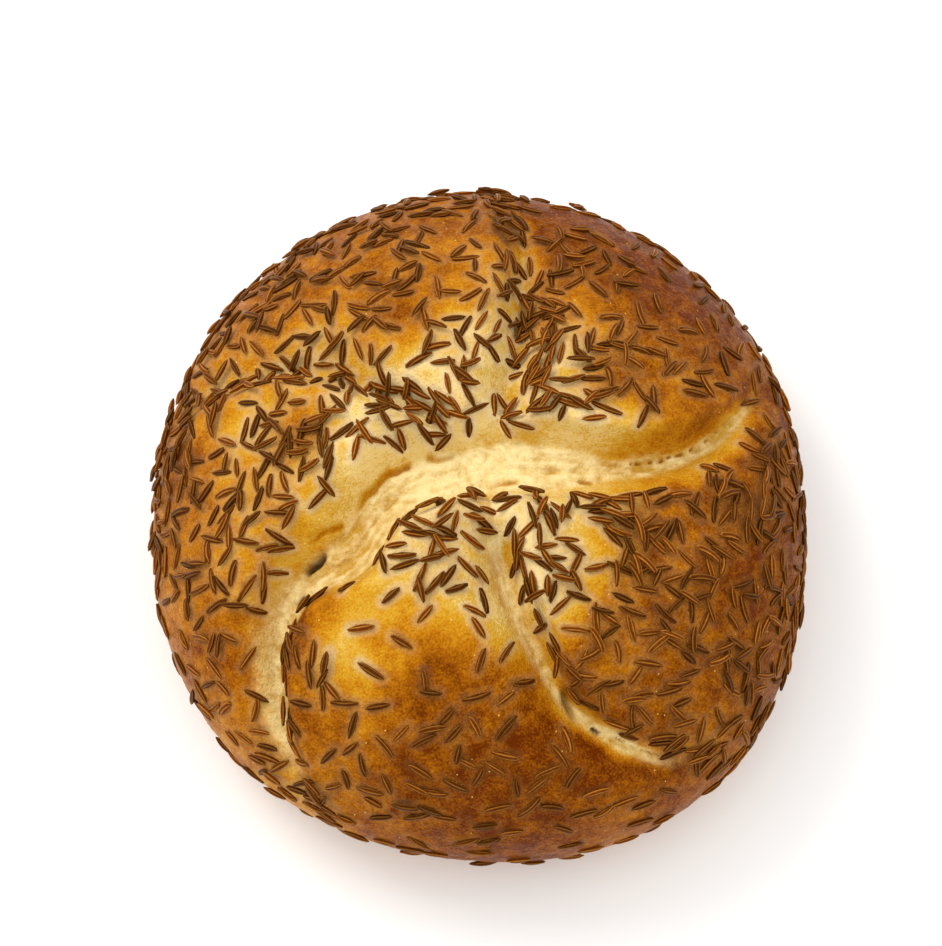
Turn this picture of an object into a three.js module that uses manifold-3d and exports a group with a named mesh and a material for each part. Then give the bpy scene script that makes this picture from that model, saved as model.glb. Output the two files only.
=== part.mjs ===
import * as THREE from 'three';
import { mergeVertices } from 'three/addons/utils/BufferGeometryUtils.js';
import Module from 'manifold-3d';

// A bread roll folded into five petals and strewn with caraway seeds.
// Millimetres, +Z up. It rests on its flat underside at z = 0, and the origin is below its middle.
// Angles are in degrees, anticlockwise from +X as seen from above.
// A "share" is a distance from the roll's axis over the radius of the outline in that direction.

// The body
const MEAN_RADIUS = 57.0;
const OUT_OF_ROUND = [
  { lobes: 2, swell: 1.82, toward: 94.8 },
  { lobes: 3, swell: 0.71, toward: 75.0 },
  { lobes: 4, swell: 0.63, toward: 39.3 },
];
const CROWN_HEIGHT = 43.9;
const WIDEST_HEIGHT = 15.0;
const CROWN_FULLNESS = 2.2;
const FLANK_FULLNESS = 2.1;
const BASE_SHARE = 0.82;

// Soft lumps of a body shaped by hand: waves round it and down it
const LUMPS = [
  { rise: 0.45, around: 3, down: 2.6, drift: 0, begin: 1.1, start: 0.4 },
  { rise: 0.27, around: 5, down: 3.4, drift: -4, begin: 0, start: 1.9 },
];

// The five folds between the petals. Each fold starts at the middle in the direction "start" and
// turns by "turn" on its way out, and "sway" is one soft bend aside in its line. Seen along the
// fold towards the rim, its left side is a steep lip and its right side a long bank. The first
// of a pair of widths is at the middle of the roll, the second at its rim. Three widths are near
// the middle, part of the way out and at the rim, and the shares between which they change
// stand beside them. "from" and "reach" are the shares between which the fold shows, and the
// bare widths of bank and lip are those on which no seed lies.
const FOLDS = [
  {
    start: -1.2, turn: 32.3, bend: 3.2, sway: { turn: 0, share: 0.5, width: 0.1 },
    from: 0, reach: 0.93, depth: 4.8,
    floor: { widths: [8.5, 3.4, 2.0], shares: [0.15, 0.50, 0.90] },
    bank: [5, 12], lip: [3.0, 3.6],
    bareBank: { widths: [1.0, 3.0, 3.0], shares: [0.10, 0.45, 0.90] },
    bareLip: { widths: [1.0, 4.5, 4.5], shares: [0.10, 0.45, 0.90] },
  },
  {
    start: 67, turn: 18, bend: 1.0, sway: { turn: 0, share: 0.5, width: 0.1 },
    from: 0.06, reach: 0.95, depth: 2.8,
    floor: { widths: [1.6, 1.5, 1.4], shares: [0.24, 0.50, 0.88] },
    bank: [8, 13], lip: [4.8, 5.4],
    bareBank: { widths: [0, 0, 0], shares: [0.24, 0.50, 0.88] },
    bareLip: { widths: [0.5, 0.5, 0.5], shares: [0.24, 0.50, 0.88] },
  },
  {
    start: 137, turn: 30, bend: 2.0, sway: { turn: 0, share: 0.5, width: 0.1 },
    from: 0.04, reach: 0.98, depth: 2.8,
    floor: { widths: [1.6, 1.5, 1.4], shares: [0.24, 0.50, 0.88] },
    bank: [8, 15], lip: [4.8, 5.4],
    bareBank: { widths: [0, 0, 0], shares: [0.24, 0.50, 0.88] },
    bareLip: { widths: [0.5, 0.5, 0.5], shares: [0.24, 0.50, 0.88] },
  },
  {
    start: 193.7, turn: 49.7, bend: 2.235, sway: { turn: 12.1, share: 0.435, width: 0.149 },
    from: 0, reach: 1.01, depth: 5.8,
    floor: { widths: [8.0, 4.4, 3.0], shares: [0.38, 0.64, 0.95] },
    bank: [8, 12], lip: [3.0, 3.8],
    bareBank: { widths: [1.0, 5.5, 1.5], shares: [0.10, 0.42, 0.70] },
    bareLip: { widths: [0.5, 0.5, 0.5], shares: [0.24, 0.50, 0.88] },
  },
  {
    start: 280.5, turn: 31, bend: 3.4, sway: { turn: 2.3, share: 0.52, width: 0.10 },
    from: 0.17, reach: 0.98, depth: 4.6,
    floor: { widths: [1.8, 1.5, 3.0], shares: [0.30, 0.65, 0.85] },
    bank: [8, 13], lip: [3.2, 3.8],
    bareBank: { widths: [3.0, 3.0, 2.5], shares: [0.24, 0.50, 0.88] },
    bareLip: { widths: [0.5, 0.5, 0.5], shares: [0.24, 0.50, 0.88] },
  },
];
const FADE_IN_SHARE = 0.16;
const FADE_OUT_SHARE = 0.30;
const LIP_STEEPNESS = 1.6;
const BANK_STEEPNESS = 2.1;
const LIP_RISE = 0.9;
const LIP_RISE_WIDTH = 3.2;

// The petals. Petal n lies between fold n and the next one. "puff" is the rise of its crown. The
// seed cover is given at its tip near the middle, on its crown, at the rim and along its lip, and
// "lean" is what it is multiplied by beside its own fold and beside the next one.
const PETALS = [
  { puff: 2.0, cover: { open: [1.70, 0.60, 0.18], lean: [0.80, 1.25], lip: 0.5 } },
  { puff: 2.3, cover: { open: [1.90, 0.62, 0.52], lean: [0.62, 1.15], lip: 0.8 } },
  { puff: 2.4, cover: { open: [1.60, 0.95, 0.60], lean: [1.00, 0.60], lip: 1.0 } },
  { puff: 3.2, cover: { open: [1.35, 0.22, 0.22], lean: [1.20, 0.85], lip: 1.1 } },
  { puff: 2.8, cover: { open: [1.60, 0.95, 0.40], lean: [1.05, 0.90], lip: 1.1 } },
];
const PETAL_LEAN = 0.88;
const PETAL_ROUNDNESS = 0.8;
const COVER_SHARES = [0.24, 0.50, 0.88];
const LEAN_SHARES = [0.28, 0.50];
const LIP_COVER_WIDTH = 5.0;

// Bare crumb: no seed lies in a deep fold and close beside it
const DEEP_FOLD = 4.0;
const BARE_STRENGTH = 0.25;
const LEAST_COVER = 0.05;
const MOST_COVER = 1.0;
const FLANK_COVER = 0.22;
const FLANK_TRAVELS = [0.80, 1.05];
const LOWEST_SEED = 1.35;

// The caraway seeds that are large enough to show as solids
const SEED_COUNT = 135;
const SEED_SPACING = 5.7;
const SEED_LENGTH = [4.4, 5.2];
const SEED_WIDTH = [1.25, 1.55];
const SEED_THICKNESS_SHARE = 0.78;
const SEED_BEND = [0.1, 0.5];
const SEED_SINK_SHARE = 0.28;
const SEED_SIDES = 5;
const SEED_SEGMENTS = 4;
const SEED_TRIES = 24000;
const PLACE_START = 20671;
const SHAPE_START = 7351;
const RAY_START = 4;

// Facets of the body
const LIP_STEPS = [0, 0.12, 0.45, 1, 1.9];
const OPEN_STEPS = [1 / 3, 2 / 3];
const BANK_STEPS = [1, 0.62, 0.33, 0.12, 0];
const LIP_ROOM = 0.5;
const BANK_ROOM = 0.4;
const EVEN_MIDDLE = [0.08, 0.2];
const EVEN_RIM = [0.85, 1.0];
const ROW_CROWDING = 1.2;
const CROWN_ROWS = 17;
const FLANK_ROWS = 5;
const BASE_ROWS = 2;
const BOX_STEPS = 720;
const NUDGE = 0.004;

const CRUST_COLOUR = 0xb9772b;

const radians = THREE.MathUtils.degToRad;
const lerp = THREE.MathUtils.lerp;
const clamp = THREE.MathUtils.clamp;
const smooth = THREE.MathUtils.smoothstep;

/** Radius of the outline in a direction, in plan. */
function outline(angle) {
  return OUT_OF_ROUND.reduce(
    (radius, wave) => radius + wave.swell * Math.cos(wave.lobes * (angle - radians(wave.toward))),
    MEAN_RADIUS,
  );
}

/** Middle of the outline's box, which is moved on to the origin. */
function planMiddle() {
  const box = new THREE.Box2();
  for (let step = 0; step < BOX_STEPS; step += 1) {
    const angle = (2 * Math.PI * step) / BOX_STEPS;
    const radius = outline(angle);
    box.expandByPoint(new THREE.Vector2(radius * Math.cos(angle), radius * Math.sin(angle)));
  }
  return box.getCenter(new THREE.Vector2());
}

const MIDDLE = planMiddle();

/**
 * Share and height of the plain profile. Travel is 0 at the crown, 1 at the widest section,
 * 2 at the edge of the flat underside and 3 at its middle.
 */
function profile(travel) {
  if (travel <= 1) {
    const turn = (travel * Math.PI) / 2;
    const power = 2 / CROWN_FULLNESS;
    const rise = (CROWN_HEIGHT - WIDEST_HEIGHT) * Math.max(Math.cos(turn), 0) ** power;
    return { share: Math.sin(turn) ** power, height: WIDEST_HEIGHT + rise };
  }
  if (travel <= 2) {
    const turn = ((travel - 1) * Math.PI) / 2;
    const power = 2 / FLANK_FULLNESS;
    const inset = 1 - Math.max(Math.cos(turn), 0) ** power;
    const drop = WIDEST_HEIGHT * Math.sin(turn) ** power;
    return { share: 1 - (1 - BASE_SHARE) * inset, height: WIDEST_HEIGHT - drop };
  }
  return { share: BASE_SHARE * (3 - travel), height: 0 };
}

/** Share that the folds and petals follow: below the widest section they keep their rim place. */
function foldShare(travel) {
  return travel < 1 ? profile(travel).share : 1;
}

/** A value given near the middle, part of the way out and at the rim, at a share. */
function zoned(values, shares, share) {
  const inner = lerp(values[0], values[1], smooth(share, shares[0], shares[1]));
  return lerp(inner, values[2], smooth(share, shares[1], shares[2]));
}

/** A width of a fold at a share. */
function widthAt(zones, share) {
  return zoned(zones.widths, zones.shares, share);
}

/** Direction of a fold's middle line at a share. */
function foldAngle(fold, share) {
  const away = (share - fold.sway.share) / fold.sway.width;
  const aside = fold.sway.turn * Math.exp(-away * away);
  return radians(fold.start + fold.turn * share ** fold.bend + aside);
}

/** The same angle between -180 and 180 degrees. */
function wrapped(angle) {
  return angle - 2 * Math.PI * Math.round(angle / (2 * Math.PI));
}

/** Distance from a fold's middle line, positive on its lip side. */
function foldOffset(fold, angle, share) {
  const turned = wrapped(angle - foldAngle(fold, share));
  const beside = Math.abs(turned) < Math.PI / 2 ? Math.sin(turned) : Math.sign(turned);
  return beside * share * outline(angle);
}

/** Width of a fold's side at a place: the two sides blend round behind its inner end. */
function foldSide(fold, angle, share) {
  const turned = wrapped(angle - foldAngle(fold, share));
  const lip = lerp(...fold.lip, share);
  const bank = lerp(...fold.bank, share);
  const behind = smooth(Math.abs(turned), Math.PI / 2, Math.PI) / 2;
  return turned > 0 ? lerp(lip, bank, behind) : lerp(bank, lip, behind);
}

/** How much of its depth a fold has at a share. */
function foldStrength(fold, share) {
  const fadeIn = fold.from > 0 ? smooth(share, fold.from, fold.from + FADE_IN_SHARE) : 1;
  return fadeIn * (1 - smooth(share, fold.reach - FADE_OUT_SHARE, fold.reach));
}

/** Depth of one fold, and the low ridge along its lip. */
function foldRelief(fold, angle, share) {
  const offset = foldOffset(fold, angle, share);
  const strength = foldStrength(fold, share);
  const halfFloor = widthAt(fold.floor, share) / 2;
  const climb = clamp((Math.abs(offset) - halfFloor) / foldSide(fold, angle, share), 0, 1);
  const steepness = offset > 0 ? LIP_STEEPNESS : BANK_STEEPNESS;
  const past = (offset - halfFloor - lerp(...fold.lip, share)) / LIP_RISE_WIDTH;
  return {
    depth: fold.depth * strength * (1 - climb) ** steepness,
    ridge: LIP_RISE * strength * Math.exp(-past * past),
  };
}

/** The petal at a place: its number, and 0 at its own fold to 1 at the next. */
function petalAt(angle, share) {
  const starts = FOLDS.map((fold) => foldAngle(fold, share));
  for (let number = 0; number < FOLDS.length; number += 1) {
    const next = number + 1 < FOLDS.length ? starts[number + 1] : starts[0] + 2 * Math.PI;
    const turned = angle - starts[number];
    const ahead = turned - 2 * Math.PI * Math.floor(turned / (2 * Math.PI));
    if (ahead <= next - starts[number]) {
      return { number, across: ahead / (next - starts[number]) };
    }
  }
  return { number: FOLDS.length - 1, across: 1 };
}

/** Rise of the lumps at a place. */
function lumps(angle, travel) {
  return LUMPS.reduce((sum, wave) => {
    const round = Math.sin(wave.around * angle + wave.drift * travel + wave.begin);
    return sum + wave.rise * round * Math.sin(wave.down * travel + wave.start);
  }, 0);
}

/** Rise of a petal's crown at a place. */
function petalSwell(angle, share) {
  const { number, across } = petalAt(angle, share);
  const round = Math.sin(Math.PI * across ** PETAL_LEAN) ** PETAL_ROUNDNESS;
  return PETALS[number].puff * round * Math.sin(Math.PI * share ** PETAL_LEAN);
}

/** Height of the surface above the plain profile, along the profile's normal. */
function relief(angle, travel) {
  const share = foldShare(travel);
  const folds = FOLDS.map((fold) => foldRelief(fold, angle, share));
  const depth = Math.max(...folds.map((fold) => fold.depth));
  const ridge = Math.max(...folds.map((fold) => fold.ridge)) * (1 - smooth(depth, 0.2, 2));
  const lumpy = smooth(travel, 0.05, 0.4) * (1 - smooth(travel, 1, 1.9));
  return petalSwell(angle, share) + ridge - depth + lumps(angle, travel) * lumpy;
}

/** A point of the body's surface. */
function surfacePoint(angle, travel) {
  const { share, height } = profile(travel);
  const before = profile(Math.max(travel - NUDGE, 0));
  const after = profile(Math.min(travel + NUDGE, 2));
  const run = (after.share - before.share) * outline(angle);
  const drop = before.height - after.height;
  const length = Math.hypot(run, drop) || 1;
  const offset = travel < 2 ? relief(angle, travel) : 0;
  const radius = share * outline(angle) + (offset * drop) / length;
  return new THREE.Vector3(
    radius * Math.cos(angle) - MIDDLE.x,
    radius * Math.sin(angle) - MIDDLE.y,
    Math.max(height + (offset * run) / length, 0),
  );
}

/** Travel of a row of facets, counted from the crown down. */
function rowTravel(row) {
  if (row <= CROWN_ROWS) {
    return (row / CROWN_ROWS) ** ROW_CROWDING;
  }
  if (row <= CROWN_ROWS + FLANK_ROWS) {
    return 1 + (row - CROWN_ROWS) / FLANK_ROWS;
  }
  return 2 + (row - CROWN_ROWS - FLANK_ROWS) / BASE_ROWS;
}

/** Turns of the columns away from a fold's middle line, squeezed into the room they have. */
function columnTurns(steps, halfFloor, side, radius, room) {
  const scale = Math.min(1, room / ((halfFloor + side * Math.max(...steps)) / radius));
  return steps.map((step) => (scale * (halfFloor + side * step)) / radius);
}

/** Directions of the columns of facets in one petal: they run along its floors, lip and bank. */
function petalColumns(fold, next, start, end, share) {
  const radius = Math.max(share, 1e-3) * outline((start + end) / 2);
  const span = end - start;
  const lip = lerp(...fold.lip, share);
  const bank = lerp(...next.bank, share);
  const ownFloor = widthAt(fold.floor, share) / 2;
  const nextFloor = widthAt(next.floor, share) / 2;
  const lipTurns = columnTurns(LIP_STEPS, ownFloor, lip, radius, span * LIP_ROOM);
  const bankTurns = columnTurns(BANK_STEPS, nextFloor, bank, radius, span * BANK_ROOM);
  const inner = lipTurns.map((turn) => start + turn);
  const outer = bankTurns.map((turn) => end - turn);
  const open = OPEN_STEPS.map((step) => lerp(inner[inner.length - 1], outer[0], step));
  return [start, ...inner, ...open, ...outer];
}

/** Directions of all columns of facets at a share, evenly spread at the middle and at the rim. */
function columnAngles(share) {
  const even = Math.max(1 - smooth(share, ...EVEN_MIDDLE), smooth(share, ...EVEN_RIM));
  return FOLDS.flatMap((fold, number) => {
    const last = number + 1 === FOLDS.length;
    const next = FOLDS[last ? 0 : number + 1];
    const start = foldAngle(fold, share);
    const end = foldAngle(next, share) + (last ? 2 * Math.PI : 0);
    const columns = petalColumns(fold, next, start, end, share);
    return columns.map((angle, index) => lerp(angle, lerp(start, end, index / columns.length), even));
  });
}

/** The bare body: a ball of facets pushed on to the roll's surface. */
function bodyGeometry() {
  const columns = columnAngles(1).length;
  const rows = CROWN_ROWS + FLANK_ROWS + BASE_ROWS;
  const geometry = new THREE.SphereGeometry(1, columns, rows);
  const position = geometry.getAttribute('position');
  for (let row = 0; row <= rows; row += 1) {
    const travel = rowTravel(row);
    const angles = columnAngles(foldShare(travel));
    for (let column = 0; column <= columns; column += 1) {
      const pole = row === 0 || row === rows;
      const turn = pole ? 0 : angles[column % columns];
      const point = surfacePoint(turn, travel);
      position.setXYZ(row * (columns + 1) + column, point.x, point.y, point.z);
    }
  }
  return geometry;
}

/** A draw between 0 and 1 from a fixed start, the same on every run. */
function seededDraw(start) {
  let state = start;
  return () => {
    state = (state * 48271) % 2147483647;
    return state / 2147483647;
  };
}

/** Seed cover at a place: 0 on bare crumb, 1 where the seeds lie close, and more in piles. */
function seedCover(angle, travel) {
  const share = foldShare(travel);
  const { number, across } = petalAt(angle, share);
  const { cover } = PETALS[number];
  const lean = lerp(1, lerp(...cover.lean, across), smooth(share, ...LEAN_SHARES));
  const open = zoned(cover.open, COVER_SHARES, share) * lean;
  const bare = FOLDS.map((fold) => {
    const offset = foldOffset(fold, angle, share);
    const past = Math.abs(offset) - widthAt(fold.floor, share) / 2;
    const width = widthAt(offset > 0 ? fold.bareLip : fold.bareBank, share);
    const strength = fold.depth > DEEP_FOLD ? foldStrength(fold, share) : 0;
    return 1 - smooth(strength, 0, BARE_STRENGTH) * (1 - smooth(past, 0.7 * width, 1.3 * width + 0.5));
  });
  const lipDistance = across * share * outline(angle);
  const lip = lerp(cover.lip, open, smooth(lipDistance, 0.5 * LIP_COVER_WIDTH, LIP_COVER_WIDTH));
  const flank = lerp(1, FLANK_COVER, smooth(travel, ...FLANK_TRAVELS));
  return Math.min(...bare) * lip * flank;
}

/** A seed's shape: a bent five-sided spindle, lying along X with its hollow side towards -Y. */
function seedGeometry(length, width, bend) {
  const geometry = new THREE.SphereGeometry(1, SEED_SIDES, SEED_SEGMENTS);
  geometry.rotateZ(Math.PI / 2);
  geometry.scale(length / 2, width / 2, (width * SEED_THICKNESS_SHARE) / 2);
  const position = geometry.getAttribute('position');
  for (let index = 0; index < position.count; index += 1) {
    const along = position.getX(index) / (length / 2);
    position.setY(index, position.getY(index) - bend * along * along);
  }
  return geometry;
}

/** Places a seed on the body at a hit of the ray that looks for the crust. */
function laidSeed(hit, heading, length, width, bend) {
  const up = hit.face.normal.clone();
  const east = new THREE.Vector3(Math.cos(heading), Math.sin(heading), 0);
  const side = new THREE.Vector3().crossVectors(up, east).normalize();
  const along = new THREE.Vector3().crossVectors(side, up).normalize();
  const thickness = width * SEED_THICKNESS_SHARE;
  const middle = hit.point.clone().addScaledVector(up, thickness * (0.5 - SEED_SINK_SHARE));
  const pose = new THREE.Matrix4().makeBasis(along, side, up).setPosition(middle);
  return seedGeometry(length, width, bend).applyMatrix4(pose);
}

/** Direction out of the surface at a place. */
function surfaceNormal(angle, travel, place) {
  const across = surfacePoint(angle + NUDGE, travel).sub(place);
  const down = surfacePoint(angle, travel + NUDGE).sub(place);
  return new THREE.Vector3().crossVectors(down, across).normalize();
}

/** Places of the seeds that show as solids, spaced evenly by their cover. */
function seedPlaces() {
  const draw = seededDraw(PLACE_START);
  const places = [];
  for (let trial = 0; trial < SEED_TRIES && places.length < SEED_COUNT; trial += 1) {
    const angle = 2 * Math.PI * draw();
    const travel = LOWEST_SEED * draw();
    const chance = draw();
    const cover = seedCover(angle, travel);
    const point = surfacePoint(angle, travel);
    const room = SEED_SPACING / Math.sqrt(clamp(cover, LEAST_COVER, MOST_COVER));
    const free = places.every((other) => other.point.distanceTo(point) > room);
    if (free && chance < cover * profile(travel).share) {
      places.push({ angle, travel, point });
    }
  }
  return places;
}

/** The seeds, each lying on a facet of the body. */
function seedGeometries(body) {
  const draw = seededDraw(SHAPE_START);
  const target = new THREE.Mesh(body, new THREE.MeshBasicMaterial());
  const ray = new THREE.Raycaster();
  return seedPlaces().map(({ angle, travel, point }) => {
    const outward = surfaceNormal(angle, travel, point);
    ray.set(point.clone().addScaledVector(outward, RAY_START), outward.clone().negate());
    const length = lerp(...SEED_LENGTH, draw());
    const width = lerp(...SEED_WIDTH, draw());
    const bend = lerp(...SEED_BEND, draw());
    const heading = 2 * Math.PI * draw();
    return laidSeed(ray.intersectObject(target)[0], heading, length, width, bend);
  });
}

const wasm = await Module();
wasm.setup();

/** A closed geometry as a solid that can be joined. */
function solidOf(geometry) {
  const bare = geometry.clone();
  bare.deleteAttribute('normal');
  bare.deleteAttribute('uv');
  const merged = mergeVertices(bare, 1e-4);
  return new wasm.Manifold(new wasm.Mesh({
    numProp: 3,
    vertProperties: new Float32Array(merged.getAttribute('position').array),
    triVerts: new Uint32Array(merged.getIndex().array),
  }));
}

/** The largest piece of a solid, with any sealed hollow left out. */
function mainPiece(solid) {
  const pieces = solid.decompose();
  return pieces.reduce((best, piece) => (piece.volume() > best.volume() ? piece : best));
}

/** A solid as a geometry. */
function geometryOf(solid) {
  const mesh = solid.getMesh();
  const geometry = new THREE.BufferGeometry();
  geometry.setAttribute('position', new THREE.BufferAttribute(mesh.vertProperties, 3));
  geometry.setIndex(new THREE.BufferAttribute(mesh.triVerts, 1));
  geometry.computeVertexNormals();
  return geometry;
}

const body = bodyGeometry();
const joined = seedGeometries(body).reduce((solid, seed) => solid.add(solidOf(seed)), solidOf(body));

const roll = new THREE.Mesh(
  geometryOf(mainPiece(joined)),
  new THREE.MeshStandardMaterial({ color: CRUST_COLOUR, roughness: 0.5, metalness: 0 }),
);
roll.name = 'roll';

const group = new THREE.Group();
group.add(roll);

export default group;
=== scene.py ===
"""Looks of a bread roll folded into five petals and strewn with caraway seeds.

The body's form is worked out from the same sizes as the CAD solid, in millimetres, and its points
are turned into metres when a mesh is made. Angles are in radians from +X, anticlockwise as seen
from above, unless a name says degrees. A "share" is a distance from the roll's axis over the radius
of the outline in that direction. "Travel" runs down the profile: 0 at the crown, 1 at the widest
section, 2 at the edge of the flat underside and 3 at its middle.
"""

import logging
import math
from dataclasses import dataclass
from enum import Enum

import bpy
import numpy as np
from mathutils import Matrix, Vector, kdtree, noise

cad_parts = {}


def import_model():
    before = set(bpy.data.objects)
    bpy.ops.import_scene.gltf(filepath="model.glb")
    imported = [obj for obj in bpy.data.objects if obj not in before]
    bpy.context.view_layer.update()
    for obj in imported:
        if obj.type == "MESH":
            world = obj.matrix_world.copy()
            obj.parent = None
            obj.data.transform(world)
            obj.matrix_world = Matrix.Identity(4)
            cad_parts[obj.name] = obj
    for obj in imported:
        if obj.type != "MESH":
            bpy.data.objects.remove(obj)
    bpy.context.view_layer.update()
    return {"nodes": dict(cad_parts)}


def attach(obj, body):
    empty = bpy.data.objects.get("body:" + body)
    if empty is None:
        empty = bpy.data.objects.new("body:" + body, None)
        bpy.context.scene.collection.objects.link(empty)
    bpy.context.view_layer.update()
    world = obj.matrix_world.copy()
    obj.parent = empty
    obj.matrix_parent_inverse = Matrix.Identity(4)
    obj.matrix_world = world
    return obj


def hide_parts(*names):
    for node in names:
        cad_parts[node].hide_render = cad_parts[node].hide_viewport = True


LOG = logging.getLogger("bread_roll")
MM = 0.001
ROOT_BODY = "root"
BODY_NODE = "roll"

TURN = 2 * math.pi
TINY = 1e-9
NODE_STEP = 180
NOISE_SHIFT = (1.0, 2.3, -1.7)
NOISE_FADE = 0.9
NOISE_FINENESS = 2.1

Array = np.ndarray
Colour = tuple[float, float, float, float]
Triangle = tuple[int, int, int]


class Pattern(Enum):
    """How far each field of noise is shifted, so that no two of them are alike."""

    BROAD = 1.0
    LONG_FIBRES = 2.0
    TEAR_PATH = 3.0
    CROSS_FIBRES = 4.0
    CRUMB = 5.0
    HOLES = 8.0
    SKIN = 9.0


def smooth(value: Array | float, low: float, high: float) -> Array | float:
    """A smooth step from 0 at low to 1 at high."""
    step = np.clip((value - low) / (high - low), 0, 1)
    return step * step * (3 - 2 * step)


def mix(start: Array | float, end: Array | float, share: Array | float) -> Array | float:
    """The value at a share of the way from start to end."""
    return start + (end - start) * share


def wrapped(angle: Array) -> Array:
    """The same angle between minus and plus half a turn."""
    return angle - TURN * np.round(angle / TURN)


def srgb(red: int, green: int, blue: int) -> Colour:
    """The linear colour that a shader takes for a display colour.

    Args:
        red: Its red channel, from 0 to 255.
        green: Its green channel.
        blue: Its blue channel.

    Returns:
        The linear colour, opaque.
    """

    def linear(value: int) -> float:
        """One channel, from display to linear."""
        part = value / 255
        return part / 12.92 if part <= 0.04045 else ((part + 0.055) / 1.055) ** 2.4

    return linear(red), linear(green), linear(blue), 1.0


def noise_field(points: Array, size: float, pattern: Pattern, octaves: int = 1) -> Array:
    """Smooth noise at points, from about -1 to 1.

    Args:
        points: Places, one row each, in millimetres.
        size: Width of one lump, in millimetres.
        pattern: Which pattern it is.
        octaves: How many layers it has, each finer than the last.

    Returns:
        One value for each point.
    """
    offset = Vector([part * pattern.value for part in NOISE_SHIFT])
    scaled = (Vector(point) / size + offset for point in points)
    if octaves == 1:
        return np.array([noise.noise(place) for place in scaled])
    return np.array([noise.fractal(place, NOISE_FADE, NOISE_FINENESS, octaves) for place in scaled])


def placed(name: str, data: bpy.types.ID) -> bpy.types.Object:
    """Makes an object of a mesh, a camera or a lamp and puts it in the scene.

    Args:
        name: The object's name.
        data: What it shows.

    Returns:
        The new object.
    """
    made = bpy.data.objects.new(name, data)
    bpy.context.scene.collection.objects.link(made)
    return made


@dataclass(frozen=True)
class Step:
    """A soft step from 0 at a low value to 1 at a high one."""

    low: float
    high: float

    def at(self, value: Array | float) -> Array | float:
        """How far the step has risen at a value."""
        return smooth(value, self.low, self.high)


@dataclass(frozen=True)
class Span:
    """A size that changes evenly from the middle of the roll to its rim."""

    middle: float
    rim: float

    def at(self, share: Array) -> Array:
        """The size at a share."""
        return mix(self.middle, self.rim, share)


@dataclass(frozen=True)
class Zones:
    """A value given near the middle of the roll, part of the way out and at the rim."""

    tip: float
    crown: float
    rim: float
    tip_share: float = 0.24
    crown_share: float = 0.50
    rim_share: float = 0.88

    def at(self, share: Array) -> Array:
        """The value at a share."""
        inner = mix(self.tip, self.crown, smooth(share, self.tip_share, self.crown_share))
        return mix(inner, self.rim, smooth(share, self.crown_share, self.rim_share))


@dataclass(frozen=True)
class Sway:
    """One soft bend aside in a fold's line."""

    degrees: float = 0.0
    share: float = 0.5
    width: float = 0.1

    def at(self, share: Array) -> Array:
        """Degrees that it adds at a share."""
        return self.degrees * np.exp(-(((share - self.share) / self.width) ** 2))


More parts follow.
